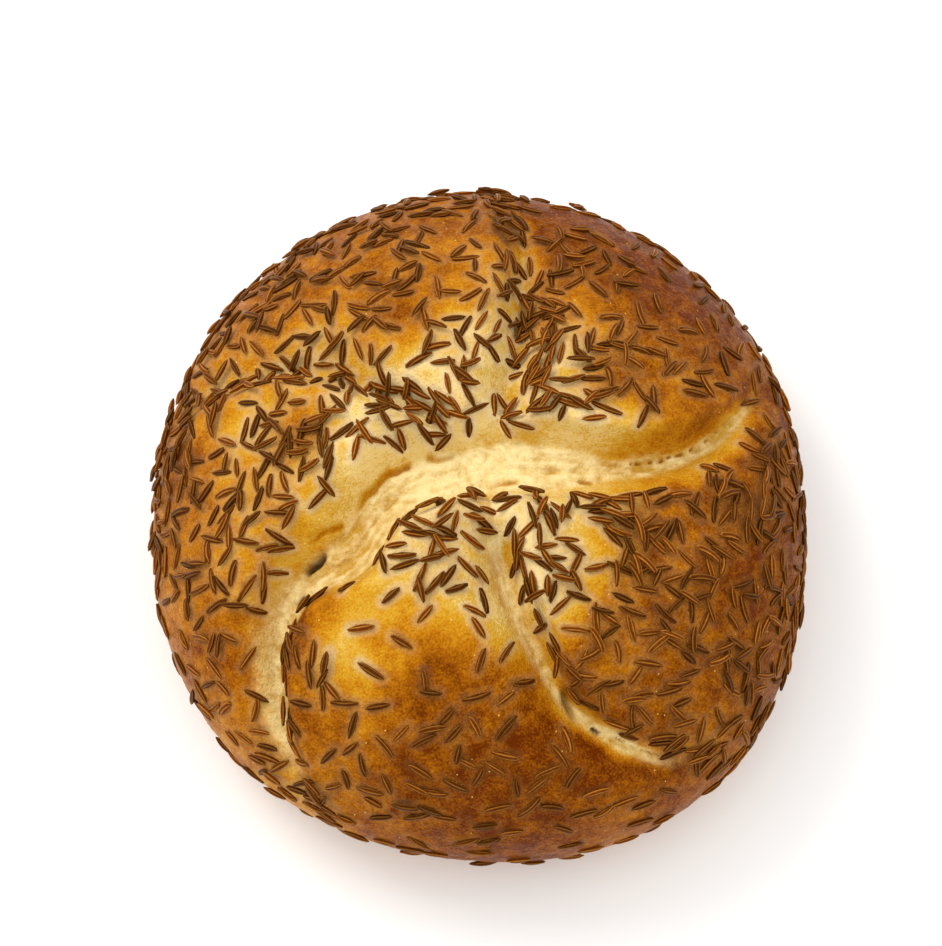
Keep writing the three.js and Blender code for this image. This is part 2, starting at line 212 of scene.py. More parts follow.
@dataclass(frozen=True)
class Fold:
    """One curved fold: a pale floor between a steep lip on its left and a long bank on its right.

    It starts at the middle of the roll in the direction start_degrees and turns by turn_degrees on
    its way out. It shows between the shares begin and reach.

    Attributes:
        bend: Power of the share that the turn follows.
        depth: Depth of its floor below the petals.
        floor: Width of its floor.
        bank: Width of its bank.
        lip: Width of its lip.
        bare_bank: Width of the bank that no seed lies on.
        bare_lip: The same on the lip.
        pale_bank: Width over which the crumb's pale skin runs up the bank.
        browning: Width over which the crust of the bank turns as brown as its petal.
        edge_bake: How brown the crust is at the edge of the floor.
        dullness: How much duller the crumb is towards the rim.
        cross_fibres: 1 where the fibres of the outer floor run across it, and 0 where along it.
        sway: A bend aside in its line.
        fade_in: Share over which it deepens at its inner end.
        fade_out: Share over which it ends.
        lip_steepness: Power of the lip's slope.
        bank_steepness: Power of the bank's slope.
        lip_rise: Height of the low ridge along the lip.
        lip_rise_width: Width of that ridge.
    """

    start_degrees: float
    turn_degrees: float
    bend: float
    begin: float
    reach: float
    depth: float
    floor: Zones
    bank: Span
    lip: Span
    bare_bank: Zones = Zones(0, 0, 0)
    bare_lip: Zones = Zones(0.5, 0.5, 0.5)
    pale_bank: Zones = Zones(0.6, 0.6, 0.6)
    browning: Span = Span(3, 3)
    edge_bake: float = 0.2
    dullness: float = 0.4
    cross_fibres: float = 0.0
    sway: Sway = Sway()
    fade_in: float = 0.16
    fade_out: float = 0.30
    lip_steepness: float = 1.6
    bank_steepness: float = 2.1
    lip_rise: float = 0.9
    lip_rise_width: float = 3.2

    def angle(self, share: Array) -> Array:
        """Direction of the fold's middle line at a share."""
        turned = self.turn_degrees * share**self.bend + self.sway.at(share)
        return np.radians(self.start_degrees + turned)

    def strength(self, share: Array) -> Array:
        """How much of its depth the fold has at a share."""
        fade_in = smooth(share, self.begin, self.begin + self.fade_in) if self.begin > 0 else 1.0
        return fade_in * (1 - smooth(share, self.reach - self.fade_out, self.reach))

    def offset(self, angle: Array, share: Array, radius: Array) -> Array:
        """Distance from the fold's middle line.

        Args:
            angle: Directions of the places.
            share: Shares of the places.
            radius: Radii of the outline in those directions.

        Returns:
            The distances, positive on the lip's side.
        """
        turned = wrapped(angle - self.angle(share))
        beside = np.where(np.abs(turned) < math.pi / 2, np.sin(turned), np.sign(turned))
        return beside * share * radius

    def side(self, angle: Array, share: Array) -> Array:
        """Width of the fold's side at a place: both sides blend round behind its inner end.

        Args:
            angle: Directions of the places.
            share: Shares of the places.

        Returns:
            The widths.
        """
        turned = wrapped(angle - self.angle(share))
        lip, bank = self.lip.at(share), self.bank.at(share)
        behind = smooth(np.abs(turned), math.pi / 2, math.pi) / 2
        return np.where(turned > 0, mix(lip, bank, behind), mix(bank, lip, behind))

    def past_floor(self, offset: Array, share: Array) -> Array:
        """Distance beyond the edge of the floor, negative on the floor itself."""
        return np.abs(offset) - self.floor.at(share) / 2

    def climb(self, angle: Array, share: Array, radius: Array) -> Array:
        """0 on the fold's floor, rising to 1 at the top of its lip or bank."""
        past = self.past_floor(self.offset(angle, share, radius), share)
        return np.clip(past / self.side(angle, share), 0, 1)

    def depth_at(self, angle: Array, share: Array, radius: Array) -> Array:
        """Depth of the fold at a place.

        Args:
            angle: Directions of the places.
            share: Shares of the places.
            radius: Radii of the outline in those directions.

        Returns:
            The depths.
        """
        offset = self.offset(angle, share, radius)
        steepness = np.where(offset > 0, self.lip_steepness, self.bank_steepness)
        left = (1 - self.climb(angle, share, radius)) ** steepness
        return self.depth * self.strength(share) * left

    def ridge_at(self, angle: Array, share: Array, radius: Array) -> Array:
        """Height of the low ridge along the fold's lip."""
        past = self.offset(angle, share, radius) - self.floor.at(share) / 2 - self.lip.at(share)
        return self.lip_rise * self.strength(share) * np.exp(-((past / self.lip_rise_width) ** 2))


@dataclass(frozen=True)
class Petal:
    """One petal, between its own fold and the next one anticlockwise.

    Attributes:
        puff: Rise of its crown.
        cover: How closely the seeds lie: 1 is close, and more is in piles.
        cover_lean: What that is multiplied by beside its own fold and beside the next one.
        lip_cover: How closely they lie along its lip.
        bake: How brown its crust is, from 0 for cream to 1 for dark brown.
        bake_lean: What is added to that beside its own fold and beside the next one.
    """

    puff: float
    cover: Zones
    cover_lean: Span
    lip_cover: float
    bake: Zones
    bake_lean: Span


@dataclass(frozen=True)
class Wave:
    """One wave of the soft lumps of a body shaped by hand.

    Attributes:
        rise: Its greatest height.
        around: How many there are in one turn round the roll.
        down: How fast it repeats on the way down the profile.
        drift: How far it turns round the roll on the way down.
        begin: Where it starts round the roll, in radians.
        start: Where it starts down the profile, in radians.
    """

    rise: float
    around: int
    down: float
    drift: float
    begin: float
    start: float

    def at(self, angle: Array, travel: Array) -> Array:
        """Rise of the wave at a place."""
        round_wave = np.sin(self.around * angle + self.drift * travel + self.begin)
        return self.rise * round_wave * np.sin(self.down * travel + self.start)


@dataclass(frozen=True)
class Lobe:
    """One part of the outline's departure from a circle.

    Attributes:
        count: How many swells it has in one turn.
        swell: Height of each.
        toward_degrees: Direction of one of them.
    """

    count: int
    swell: float
    toward_degrees: float


@dataclass(frozen=True)
class Place:
    """Places on the body: angles and travels of the same length."""

    angle: Array
    travel: Array


@dataclass(frozen=True)
class RollForm:
    """The form of the baked body, without its crumb texture and seeds.

    Attributes:
        mean_radius: Radius of the outline without its lobes.
        crown_fullness: How full the upper half of the profile is, where 2 is an ellipse.
        flank_fullness: The same for the lower half.
        base_share: Share of the edge of the flat underside.
        petal_lean: Power that moves a petal's crown towards its own fold where it is below 1.
        petal_roundness: Power of a petal's rise, fuller where it is below 1.
        ridge_fade: Depths of a fold over which the low ridge on its lip fades.
        lumps_begin: Travels over which the lumps begin below the crown.
        lumps_end: Travels over which they end above the underside.
        torn_depth: Depth past which a fold is torn open and shows its crumb.
        nudge: Small step in travel or angle, for slopes.
        box_steps: Directions in which the box of the outline is measured.
    """

    mean_radius: float = 57.0
    lobes: tuple[Lobe, ...] = (Lobe(2, 1.82, 94.8), Lobe(3, 0.71, 75.0), Lobe(4, 0.63, 39.3))
    crown_height: float = 43.9
    widest_height: float = 15.0
    crown_fullness: float = 2.2
    flank_fullness: float = 2.1
    base_share: float = 0.82
    petal_lean: float = 0.88
    petal_roundness: float = 0.8
    waves: tuple[Wave, ...] = (Wave(0.45, 3, 2.6, 0, 1.1, 0.4), Wave(0.27, 5, 3.4, -4, 0, 1.9))
    folds: tuple[Fold, ...] = (
        Fold(
            -1.2,
            32.3,
            3.2,
            begin=0.00,
            reach=0.93,
            depth=4.8,
            floor=Zones(8.5, 3.4, 2.0, 0.15, 0.50, 0.90),
            bank=Span(5, 12),
            lip=Span(3.0, 3.6),
            bare_bank=Zones(1.0, 3.0, 3.0, 0.10, 0.45, 0.90),
            bare_lip=Zones(1.0, 4.5, 4.5, 0.10, 0.45, 0.90),
            browning=Span(6, 8),
            edge_bake=0.38,
            dullness=0.55,
        ),
        Fold(
            67,
            18,
            1.0,
            begin=0.06,
            reach=0.95,
            depth=2.8,
            floor=Zones(1.6, 1.5, 1.4),
            bank=Span(8, 13),
            lip=Span(4.8, 5.4),
        ),
        Fold(
            137,
            30,
            2.0,
            begin=0.04,
            reach=0.98,
            depth=2.8,
            floor=Zones(1.6, 1.5, 1.4),
            bank=Span(8, 15),
            lip=Span(4.8, 5.4),
        ),
        Fold(
            193.7,
            49.7,
            2.235,
            begin=0.0,
            reach=1.01,
            depth=5.8,
            floor=Zones(8.0, 4.4, 3.0, 0.38, 0.64, 0.95),
            bank=Span(8, 12),
            lip=Span(3.0, 3.8),
            bare_bank=Zones(1.0, 5.5, 2.5, 0.10, 0.42, 0.70),
            pale_bank=Zones(0.6, 0.8, 5.5, 0.30, 0.60, 0.80),
            browning=Span(7, 5),
            edge_bake=0.34,
            dullness=0.38,
            cross_fibres=1.0,
            sway=Sway(12.1, 0.435, 0.149),
        ),
        Fold(
            280.5,
            31,
            3.4,
            begin=0.17,
            reach=0.98,
            depth=4.6,
            floor=Zones(1.8, 1.5, 3.0, 0.30, 0.65, 0.85),
            bank=Span(8, 13),
            lip=Span(3.2, 3.8),
            bare_bank=Zones(3.0, 3.0, 2.5),
            pale_bank=Zones(3.0, 2.6, 0.7, 0.20, 0.48, 0.72),
            browning=Span(7, 2),
            edge_bake=0.36,
            dullness=0.42,
            sway=Sway(2.3, 0.52, 0.10),
        ),
    )
    petals: tuple[Petal, ...] = (
        Petal(
            puff=2.0,
            cover=Zones(1.7, 0.60, 0.18),
            cover_lean=Span(0.8, 1.25),
            lip_cover=0.5,
            bake=Zones(0.16, 0.80, 0.97, 0.26, 0.52),
            bake_lean=Span(-0.14, 0.04),
        ),
        Petal(
            puff=2.3,
            cover=Zones(1.9, 0.62, 0.52),
            cover_lean=Span(0.62, 1.15),
            lip_cover=0.8,
            bake=Zones(0.04, 0.66, 0.78, 0.30, 0.54),
            bake_lean=Span(0.04, -0.04),
        ),
        Petal(
            puff=2.4,
            cover=Zones(1.6, 0.95, 0.60),
            cover_lean=Span(1.0, 0.6),
            lip_cover=1.0,
            bake=Zones(0.04, 0.56, 0.70, 0.32, 0.60),
            bake_lean=Span(0.0, -0.10),
        ),
        Petal(
            puff=3.2,
            cover=Zones(1.35, 0.22, 0.22),
            cover_lean=Span(1.2, 0.85),
            lip_cover=1.1,
            bake=Zones(0.12, 0.60, 0.84, 0.30, 0.60),
            bake_lean=Span(-0.04, 0.10),
        ),
        Petal(
            puff=2.8,
            cover=Zones(1.6, 0.95, 0.40),
            cover_lean=Span(1.05, 0.9),
            lip_cover=1.1,
            bake=Zones(0.06, 0.80, 0.92, 0.30, 0.58),
            bake_lean=Span(-0.04, -0.04),
        ),
    )
    ridge_fade: Step = Step(0.2, 2)
    lumps_begin: Step = Step(0.05, 0.4)
    lumps_end: Step = Step(1, 1.9)
    torn_depth: float = 4.0
    nudge: float = 0.004
    box_steps: int = 720

    def outline(self, angle: Array) -> Array:
        """Radius of the outline in a direction, in plan.

        Args:
            angle: Directions.

        Returns:
            The radii, in millimetres.
        """
        swells = (
            lobe.swell * np.cos(lobe.count * (angle - math.radians(lobe.toward_degrees)))
            for lobe in self.lobes
        )
        return self.mean_radius + sum(swells)

    def middle(self) -> Array:
        """Middle of the outline's box in plan, which is moved on to the origin.

        Returns:
            Its places along X and Y, in millimetres.
        """
        angle = np.linspace(0, TURN, self.box_steps, endpoint=False)
        corners = self.outline(angle) * np.array([np.cos(angle), np.sin(angle)])
        return (corners.min(1) + corners.max(1)) / 2

    def profile(self, travel: Array) -> tuple[Array, Array]:
        """Share and height of the plain profile.

        Args:
            travel: Places down the profile.

        Returns:
            The share and the height at each place.
        """
        crown = 2 / self.crown_fullness
        flank = 2 / self.flank_fullness
        upper = np.clip(travel, 0, 1) * math.pi / 2
        lower = np.clip(travel - 1, 0, 1) * math.pi / 2
        dome = self.widest_height + (self.crown_height - self.widest_height) * (
            np.maximum(np.cos(upper), 0) ** crown
        )
        inset = (1 - self.base_share) * (1 - np.maximum(np.cos(lower), 0) ** flank)
        side = self.widest_height * (1 - np.sin(lower) ** flank)
        base = self.base_share * (3 - travel)
        share = np.where(travel <= 1, np.sin(upper) ** crown, np.where(travel <= 2, 1 - inset, base))
        height = np.where(travel <= 1, dome, np.where(travel <= 2, side, 0.0))
        return share, height

    def fold_share(self, travel: Array) -> Array:
        """Share that folds and petals follow: below the widest section they keep their rim place."""
        return np.where(travel < 1, self.profile(travel)[0], 1.0)

    def share_and_radius(self, place: Place) -> tuple[Array, Array]:
        """Share that the folds follow and radius of the outline, at each place."""
        return self.fold_share(place.travel), self.outline(place.angle)

    def torn_folds(self) -> list[tuple[int, Fold]]:
        """The folds that show their crumb, each with its number."""
        return [(number, fold) for number, fold in enumerate(self.folds) if fold.depth > self.torn_depth]

    def petal_at(self, angle: Array, share: Array) -> tuple[Array, Array]:
        """Number of the petal at a place, and 0 at its own fold to 1 at the next.

        Args:
            angle: Directions of the places.
            share: Shares of the places.

        Returns:
            The petals' numbers and how far across them the places are.
        """
        starts = [fold.angle(share) for fold in self.folds]
        ends = starts[1:] + [starts[0] + TURN]
        number = np.full(np.shape(angle), len(self.folds) - 1)
        across = np.ones(np.shape(angle))
        for index in reversed(range(len(self.folds))):
            ahead = np.mod(angle - starts[index], TURN)
            width = ends[index] - starts[index]
            inside = ahead <= width
            number = np.where(inside, index, number)
            across = np.where(inside, ahead / width, across)
        return number, across

    def petal_value(self, number: Array, values: list[Array | float]) -> Array:
        """Each place's value, from a list with one entry for each petal."""
        stacked = np.array([np.broadcast_to(value, number.shape) for value in values])
        return np.take_along_axis(stacked, number[None, :], axis=0)[0]

    def depth(self, place: Place) -> Array:
        """Depth of the deepest fold at each place."""
        share, radius = self.share_and_radius(place)
        return np.max([fold.depth_at(place.angle, share, radius) for fold in self.folds], axis=0)

    def relief(self, place: Place) -> Array:
        """Height of the surface above the plain profile, along the profile's normal.

        Args:
            place: Where on the body.

        Returns:
            One height for each place.
        """
        share, radius = self.share_and_radius(place)
        number, across = self.petal_at(place.angle, share)
        puff = self.petal_value(number, [petal.puff for petal in self.petals])
        round_part = np.sin(math.pi * np.clip(across, 0, 1) ** self.petal_lean)
        swell = np.maximum(round_part, 0) ** self.petal_roundness
        swell = swell * np.maximum(np.sin(math.pi * share**self.petal_lean), 0)
        depth = self.depth(place)
        ridges = [fold.ridge_at(place.angle, share, radius) for fold in self.folds]
        ridge = np.max(ridges, axis=0) * (1 - self.ridge_fade.at(depth))
        lumpy = self.lumps_begin.at(place.travel) * (1 - self.lumps_end.at(place.travel))
        lumps = sum(wave.at(place.angle, place.travel) for wave in self.waves)
        return puff * swell + ridge - depth + lumps * lumpy

    def surface(self, place: Place, extra: Array | float = 0.0) -> Array:
        """Points of the body's surface.

        Args:
            place: Where on the body.
            extra: Height added to the relief, one value for all or one for each place.

        Returns:
            Points in millimetres, one row each.
        """
        share, height = self.profile(place.travel)
        before = self.profile(np.maximum(place.travel - self.nudge, 0))
        after = self.profile(np.minimum(place.travel + self.nudge, 2))
        radius = self.outline(place.angle)
        run = (after[0] - before[0]) * radius
        drop = before[1] - after[1]
        length = np.maximum(np.hypot(run, drop), TINY)
        offset = np.where(place.travel < 2, self.relief(place) + extra, 0.0)
        reach = share * radius + offset * drop / length
        middle = self.middle()
        return np.column_stack(
            [
                reach * np.cos(place.angle) - middle[0],
                reach * np.sin(place.angle) - middle[1],
                np.maximum(height + offset * run / length, 0),
            ]
        )

    def normals(self, place: Place) -> Array:
        """Directions out of the surface.

        Args:
            place: Where on the body.

        Returns:
            One direction for each place, one row each.
        """
        here = self.surface(place)
        across = self.surface(Place(place.angle + self.nudge, place.travel)) - here
        down = self.surface(Place(place.angle, place.travel + self.nudge)) - here
        out = np.cross(down, across)
        return out / np.linalg.norm(out, axis=1, keepdims=True)


@dataclass(frozen=True)
class Patch:
    """A soft round area, seen from above, where a value is higher or lower than round it.

    Attributes:
        right: Its middle, in millimetres along X.
        back: The same along Y.
        reach: Its size, in millimetres.
        change: What it adds to the value at its middle.
    """

    right: float
    back: float
    reach: float
    change: float

    def at(self, points: Array) -> Array:
        """What it adds at each point."""
        away = (points[:, 0] - self.right) ** 2 + (points[:, 1] - self.back) ** 2
        return self.change * np.exp(-away / self.reach**2)


@dataclass(frozen=True)
class SeedBed:
    """Where the caraway seeds lie: large ones spaced widely first, then the rest between them.

    Attributes:
        heaps: Where the small seeds lie closer together or further apart than the petal's cover.
        large_spacing: Least distance between large seeds where the cover is 1.
        count: Number of seeds, the large ones included.
        spacing: Least distance between small seeds where the cover is 1.
        large_length: Lengths of the shortest and the longest large seed.
        small_length: The same for the small seeds.
        width: Widths of the narrowest and the widest seed.
        bare_strength: Strength of a fold from which its crumb is quite bare.
        bare_share: Share of a bare width on which no seed lies at all.
        fade_share: Share of a bare width over which the seeds begin.
        least_fade: Width added to that.
        heap_cover: Cover past which a heap counts.
        least_cover: The spacing stops growing where the cover is lower than this.
        most_cover: The spacing stops shrinking where the cover is higher than this.
        lip_cover_width: Width of the strip along a lip that has a cover of its own.
        lean: Shares over which a petal's cover begins to lean.
        flank: Travels over which the cover changes to the flank's.
        flank_cover: What the cover is multiplied by there.
        lowest: Travel of the lowest seeds.
        tries: Number of places that are tried.
        place_start: Where the draws of the seeds' places start.
        shape_start: Where the draws of their sizes and directions start.
        multiplier: What makes each draw from the last one.
        modulus: Number of different draws.
    """

    form: RollForm
    heaps: tuple[Patch, ...] = (
        Patch(-8, -42, 9, 0.28),
        Patch(-28, -33, 6, 0.30),
        Patch(0, -14, 6, 0.50),
        Patch(44, -2, 8, 0.45),
        Patch(41, -27, 10, 0.22),
        Patch(16, -25, 7, -0.35),
        Patch(-3, 17, 8, -1.10),
        Patch(-7, 29, 6, -0.15),
        Patch(5, 21, 7, 0.90),
        Patch(-36, 13, 8, -0.30),
        Patch(-48, -22, 7, -0.25),
        Patch(-42, -41, 6, -0.30),
    )
    large_count: int = 135
    large_spacing: float = 5.7
    count: int = 1250
    spacing: float = 1.2
    large_length: tuple[float, float] = (4.3, 5.0)
    small_length: tuple[float, float] = (3.3, 4.6)
    width: tuple[float, float] = (0.98, 1.3)
    bare_strength: float = 0.25
    bare_share: float = 0.7
    fade_share: float = 0.6
    least_fade: float = 0.5
    heap_cover: float = 0.1
    least_cover: float = 0.05
    most_cover: float = 1.9
    lip_cover_width: float = 5.0
    lean: Step = Step(0.28, 0.50)
    flank: Step = Step(0.8, 1.05)
    flank_cover: float = 0.22
    lowest: float = 1.35
    tries: int = 24000
    place_start: int = 20671
    shape_start: int = 7351
    multiplier: int = 48271
    modulus: int = 2147483647

    def draws(self, start: int, count: int) -> Array:
        """Draws between 0 and 1, the same on every run.

        Args:
            start: Whole number that they start from.
            count: How many there are.

        Returns:
            The draws.
        """
        values = np.empty(count)
        state = start
        for index in range(count):
            state = state * self.multiplier % self.modulus
            values[index] = state / self.modulus
        return values

    def cover(self, place: Place) -> Array:
        """How closely the seeds lie.

        Args:
            place: Where on the body.

        Returns:
            One value for each place: 0 on bare crumb, 1 where they lie close, and more in piles.
        """
        form = self.form
        share, radius = form.share_and_radius(place)
        number, across = form.petal_at(place.angle, share)
        lean = self.lean.at(share)
        covers = [one.cover.at(share) * mix(1, one.cover_lean.at(across), lean) for one in form.petals]
        open_cover = form.petal_value(number, covers)
        lip_cover = form.petal_value(number, [one.lip_cover for one in form.petals])
        past_lip = smooth(across * share * radius, self.lip_cover_width / 2, self.lip_cover_width)
        flank = mix(1, self.flank_cover, self.flank.at(place.travel))
        return self.clear_of_crumb(place) * mix(lip_cover, open_cover, past_lip) * flank

    def clear_of_crumb(self, place: Place) -> Array:
        """How clear of the torn folds each place is.

        Args:
            place: Where on the body.

        Returns:
            0 on their bare crumb and 1 away from it.
        """
        share, radius = self.form.share_and_radius(place)
        clear = np.ones(place.angle.shape)
        for _, fold in self.form.torn_folds():
            offset = fold.offset(place.angle, share, radius)
            past = fold.past_floor(offset, share)
            width = np.where(offset > 0, fold.bare_lip.at(share), fold.bare_bank.at(share))
            shown = smooth(fold.strength(share), 0, self.bare_strength)
            fade = self.fade_share * width + self.least_fade
            strewn = smooth((past - self.bare_share * width) / fade, 0, 1)
            clear = np.minimum(clear, 1 - shown * (1 - strewn))
        return clear

    def chosen(self) -> tuple[Place, Array]:
        """The seeds' places, the large seeds first.

        Returns:
            The places, and their points in millimetres.
        """
        draws = self.draws(self.place_start, 3 * self.tries).reshape(-1, 3)
        place = Place(TURN * draws[:, 0], self.lowest * draws[:, 1])
        points = self.form.surface(place)
        large_cover = self.cover(place)
        heaped = sum(heap.at(points) for heap in self.heaps)
        small_cover = large_cover + heaped * (large_cover > self.heap_cover)
        kept: list[int] = []
        for cover, spacing, count, closest in (
            (large_cover, self.large_spacing, self.large_count, 1.0),
            (small_cover, self.spacing, self.count, self.most_cover),
        ):
            room = 1 / np.sqrt(np.clip(cover, self.least_cover, closest))
            for index in np.flatnonzero(draws[:, 2] < cover * self.form.profile(place.travel)[0]):
                if len(kept) == count:
                    break
                gaps = np.linalg.norm(points[kept] - points[index], axis=1)
                if np.all(gaps > spacing * room[index]):
                    kept.append(int(index))
        return Place(place.angle[kept], place.travel[kept]), points[kept]


@dataclass
class Seeds:
    """Sizes and lie of every seed, one entry for each.

    Attributes:
        points: Where each one lies on the crust, in millimetres.
        up: Direction out of the crust.
        along: Direction of its length.
        side: Direction of its width.
        lift: Height above the crust, in millimetres, where it lies across another.
    """

    points: Array
    up: Array
    along: Array
    side: Array
    length: Array
    width: Array
    lift: Array


@dataclass(frozen=True)
class SeedLayer:
    """Lays the seeds on the crust: flat on it, or across a seed that is already there.

    Attributes:
        thickness_share: Thickness of a seed, as a share of its width.
        sink_share: Share of its thickness that is baked into the crust.
        touching: Gap between the middle lines of crossing seeds, as a share of their width.
        crossing_lift: Rise of a seed over the one below, as a share of that one's thickness.
        most_lift: Greatest height above the crust.
        tilt: Greatest slope of a seed, in radians.
        probes: Where the middle line of a seed is tested, as shares of its length.
    """

    bed: SeedBed
    thickness_share: float = 0.82
    sink_share: float = 0.30
    touching: float = 0.55
    crossing_lift: float = 0.6
    most_lift: float = 0.9
    tilt: float = 0.12
    probes: tuple[float, ...] = (-0.4, -0.2, 0.0, 0.2, 0.4)

    def lay(self) -> Seeds:
        """Works out each seed's size, direction and height above the crust.

        Returns:
            The seeds, the large ones first.
        """
        bed = self.bed
        place, points = bed.chosen()
        count = len(points)
        draws = bed.draws(bed.shape_start, 4 * count).reshape(-1, 4)
        large = np.arange(count) < bed.large_count
        shortest = np.where(large, bed.large_length[0], bed.small_length[0])
        longest = np.where(large, bed.large_length[1], bed.small_length[1])
        heading = TURN * draws[:, 3]
        up = bed.form.normals(place)
        level = np.column_stack([np.cos(heading), np.sin(heading), 0 * heading])
        side = np.cross(up, level)
        side /= np.linalg.norm(side, axis=1, keepdims=True)
        along = np.cross(side, up)
        pitch = (self.tilt * (2 * draws[:, 2] - 1))[:, None]
        run, rise = np.cos(pitch), np.sin(pitch)
        seeds = Seeds(
            points=points,
            up=up * run - along * rise,
            along=along * run + up * rise,
            side=side,
            length=mix(shortest, longest, draws[:, 0]),
            width=mix(*bed.width, draws[:, 1]),
            lift=np.zeros(count),
        )
        self.raise_crossing(seeds)
        return seeds

    def raise_crossing(self, seeds: Seeds) -> None:
        """Lifts each seed that would run through an earlier one.

        Args:
            seeds: The seeds, whose lift it sets.
        """
        probes = np.array(self.probes)
        lines = seeds.points[:, None, :] + (
            seeds.along[:, None, :] * (seeds.length[:, None, None] * probes[None, :, None])
        )
        for index in range(1, len(seeds.points)):
            gaps = np.linalg.norm(seeds.points[:index] - seeds.points[index], axis=1)
            for other in np.flatnonzero(gaps < seeds.length[index]):
                apart = np.linalg.norm(lines[index][:, None, :] - lines[other][None, :, :], axis=2)
                if apart.min() < self.touching * seeds.width[index]:
                    thickness = self.thickness_share * seeds.width[other]
                    lifted = seeds.lift[other] + self.crossing_lift * thickness
                    seeds.lift[index] = min(max(seeds.lift[index], lifted), self.most_lift)


class NodeBuilder:
    """Adds nodes to one tree and joins them."""

    def __init__(self, tree: bpy.types.NodeTree) -> None:
        """Starts on a tree."""
        self.tree = tree
        self.column = 0

    def fill(self, node: bpy.types.Node, inputs: dict) -> None:
        """Sets or joins the inputs of a node.

        Args:
            node: The node.
            inputs: Socket names or numbers, each with a constant or with a socket to join.
        """
        for name, value in inputs.items():
            if isinstance(value, bpy.types.NodeSocket):
                self.tree.links.new(value, node.inputs[name])
            else:
                node.inputs[name].default_value = value

    def add(self, kind: str, inputs: dict | None = None, **settings: object) -> bpy.types.Node:
        """Adds a node, sets its settings, and sets or joins its inputs.

        Args:
            kind: The node's type name.
            inputs: Socket names or numbers, each with a constant or with a socket to join.
            **settings: Properties of the node.

        Returns:
            The new node.
        """
        node = self.tree.nodes.new(kind)
        node.location = (NODE_STEP * self.column, 0)
        self.column += 1
        for name, value in settings.items():
            setattr(node, name, value)
        self.fill(node, inputs or {})
        return node

    def math(self, operation: str, *values: object, clamp: bool = False) -> bpy.types.NodeSocket:
        """Adds a Math node on one to three values and returns its output."""
        inputs = dict(enumerate(values))
        return self.add("ShaderNodeMath", inputs, operation=operation, use_clamp=clamp).outputs[0]

    def attribute(self, name: str) -> bpy.types.NodeSocket:
        """The value of a named attribute of the mesh, in a material."""
        return self.add("ShaderNodeAttribute", attribute_name=name).outputs["Fac"]

    def colour_mix(self, share: object, first: object, second: object) -> bpy.types.NodeSocket:
        """The colour at a share of the way from the first to the second."""
        inputs = {0: share, 6: first, 7: second}
        return self.add("ShaderNodeMix", inputs, data_type="RGBA").outputs[2]

    def ramp(self, factor: bpy.types.NodeSocket, stops: list[tuple[float, Colour]]) -> bpy.types.NodeSocket:
        """Colours a value along a ramp.

        Args:
            factor: The value, from 0 to 1.
            stops: Places on the ramp with their colours, in order.

        Returns:
            The colour.
        """
        node = self.add("ShaderNodeValToRGB", {"Fac": factor})
        elements = node.color_ramp.elements
        while len(elements) < len(stops):
            elements.new(1.0)
        for element, (position, colour) in zip(elements, stops):
            element.position = position
            element.color = colour
        return node.outputs["Color"]

    def bump(self, height: bpy.types.NodeSocket, strength: float, distance: float) -> bpy.types.NodeSocket:
        """Turns a height into a normal.

        Args:
            height: The height, about 0.
            strength: How strongly it shows.
            distance: How high a height of 1 stands, in millimetres.

        Returns:
            The normal.
        """
        inputs = {"Strength": strength, "Distance": distance * MM, "Height": height}
        return self.add("ShaderNodeBump", inputs).outputs[0]


@dataclass(frozen=True)
class Grain:
    """A shader node group for fine grain: layered noise around zero, in three sizes.

    Attributes:
        layers: Name, usual size in millimetres and detail of each.
    """

    name: str = "baked_grain"
    layers: tuple[tuple[str, float, float], ...] = (
        ("Broad", 4.0, 3.0),
        ("Middle", 1.1, 2.0),
        ("Fine", 0.32, 1.0),
    )

    def tree(self) -> bpy.types.NodeTree:
        """Builds the group once.

        Returns:
            The group, with an input and an output for each layer.
        """
        found = bpy.data.node_groups.get(self.name)
        if found:
            return found
        tree = bpy.data.node_groups.new(self.name, "ShaderNodeTree")
        face = tree.interface
        face.new_socket("Position", in_out="INPUT", socket_type="NodeSocketVector")
        for layer, size, _ in self.layers:
            socket = face.new_socket(f"{layer} size", in_out="INPUT", socket_type="NodeSocketFloat")
            socket.default_value = size
            face.new_socket(layer, in_out="OUTPUT", socket_type="NodeSocketFloat")
        build = NodeBuilder(tree)
        entry = build.add("NodeGroupInput")
        leave = build.add("NodeGroupOutput")
        for layer, _, detail in self.layers:
            scale = build.math("DIVIDE", 1 / MM, entry.outputs[f"{layer} size"])
            inputs = {"Vector": entry.outputs["Position"], "Scale": scale, "Detail": detail}
            pattern = build.add("ShaderNodeTexNoise", inputs)
            build.fill(leave, {layer: build.math("SUBTRACT", pattern.outputs[0], 0.5)})
        return tree

    def place(self, build: NodeBuilder, *sizes: float) -> bpy.types.Node:
        """Places the group in a material.

        Args:
            build: Builder on the material's tree.
            *sizes: Sizes of the layers there, in millimetres.

        Returns:
            The group's node.
        """
        position = build.add("ShaderNodeTexCoord").outputs["Object"]
        inputs = {f"{layer} size": size for (layer, _, _), size in zip(self.layers, sizes)}
        return build.add("ShaderNodeGroup", {"Position": position, **inputs}, node_tree=self.tree())


def new_material(name: str) -> tuple[bpy.types.Material, NodeBuilder, bpy.types.Node]:
    """Makes an empty node material.

    Args:
        name: The material's name.

    Returns:
        The material, a builder on its tree and its Principled BSDF node.
    """
    material = bpy.data.materials.new(name)
    material.use_nodes = True
    tree = material.node_tree
    tree.nodes.clear()
    build = NodeBuilder(tree)
    shader = build.add("ShaderNodeBsdfPrincipled")
    build.add("ShaderNodeOutputMaterial", {"Surface": shader.outputs[0]})
    return material, build, shader


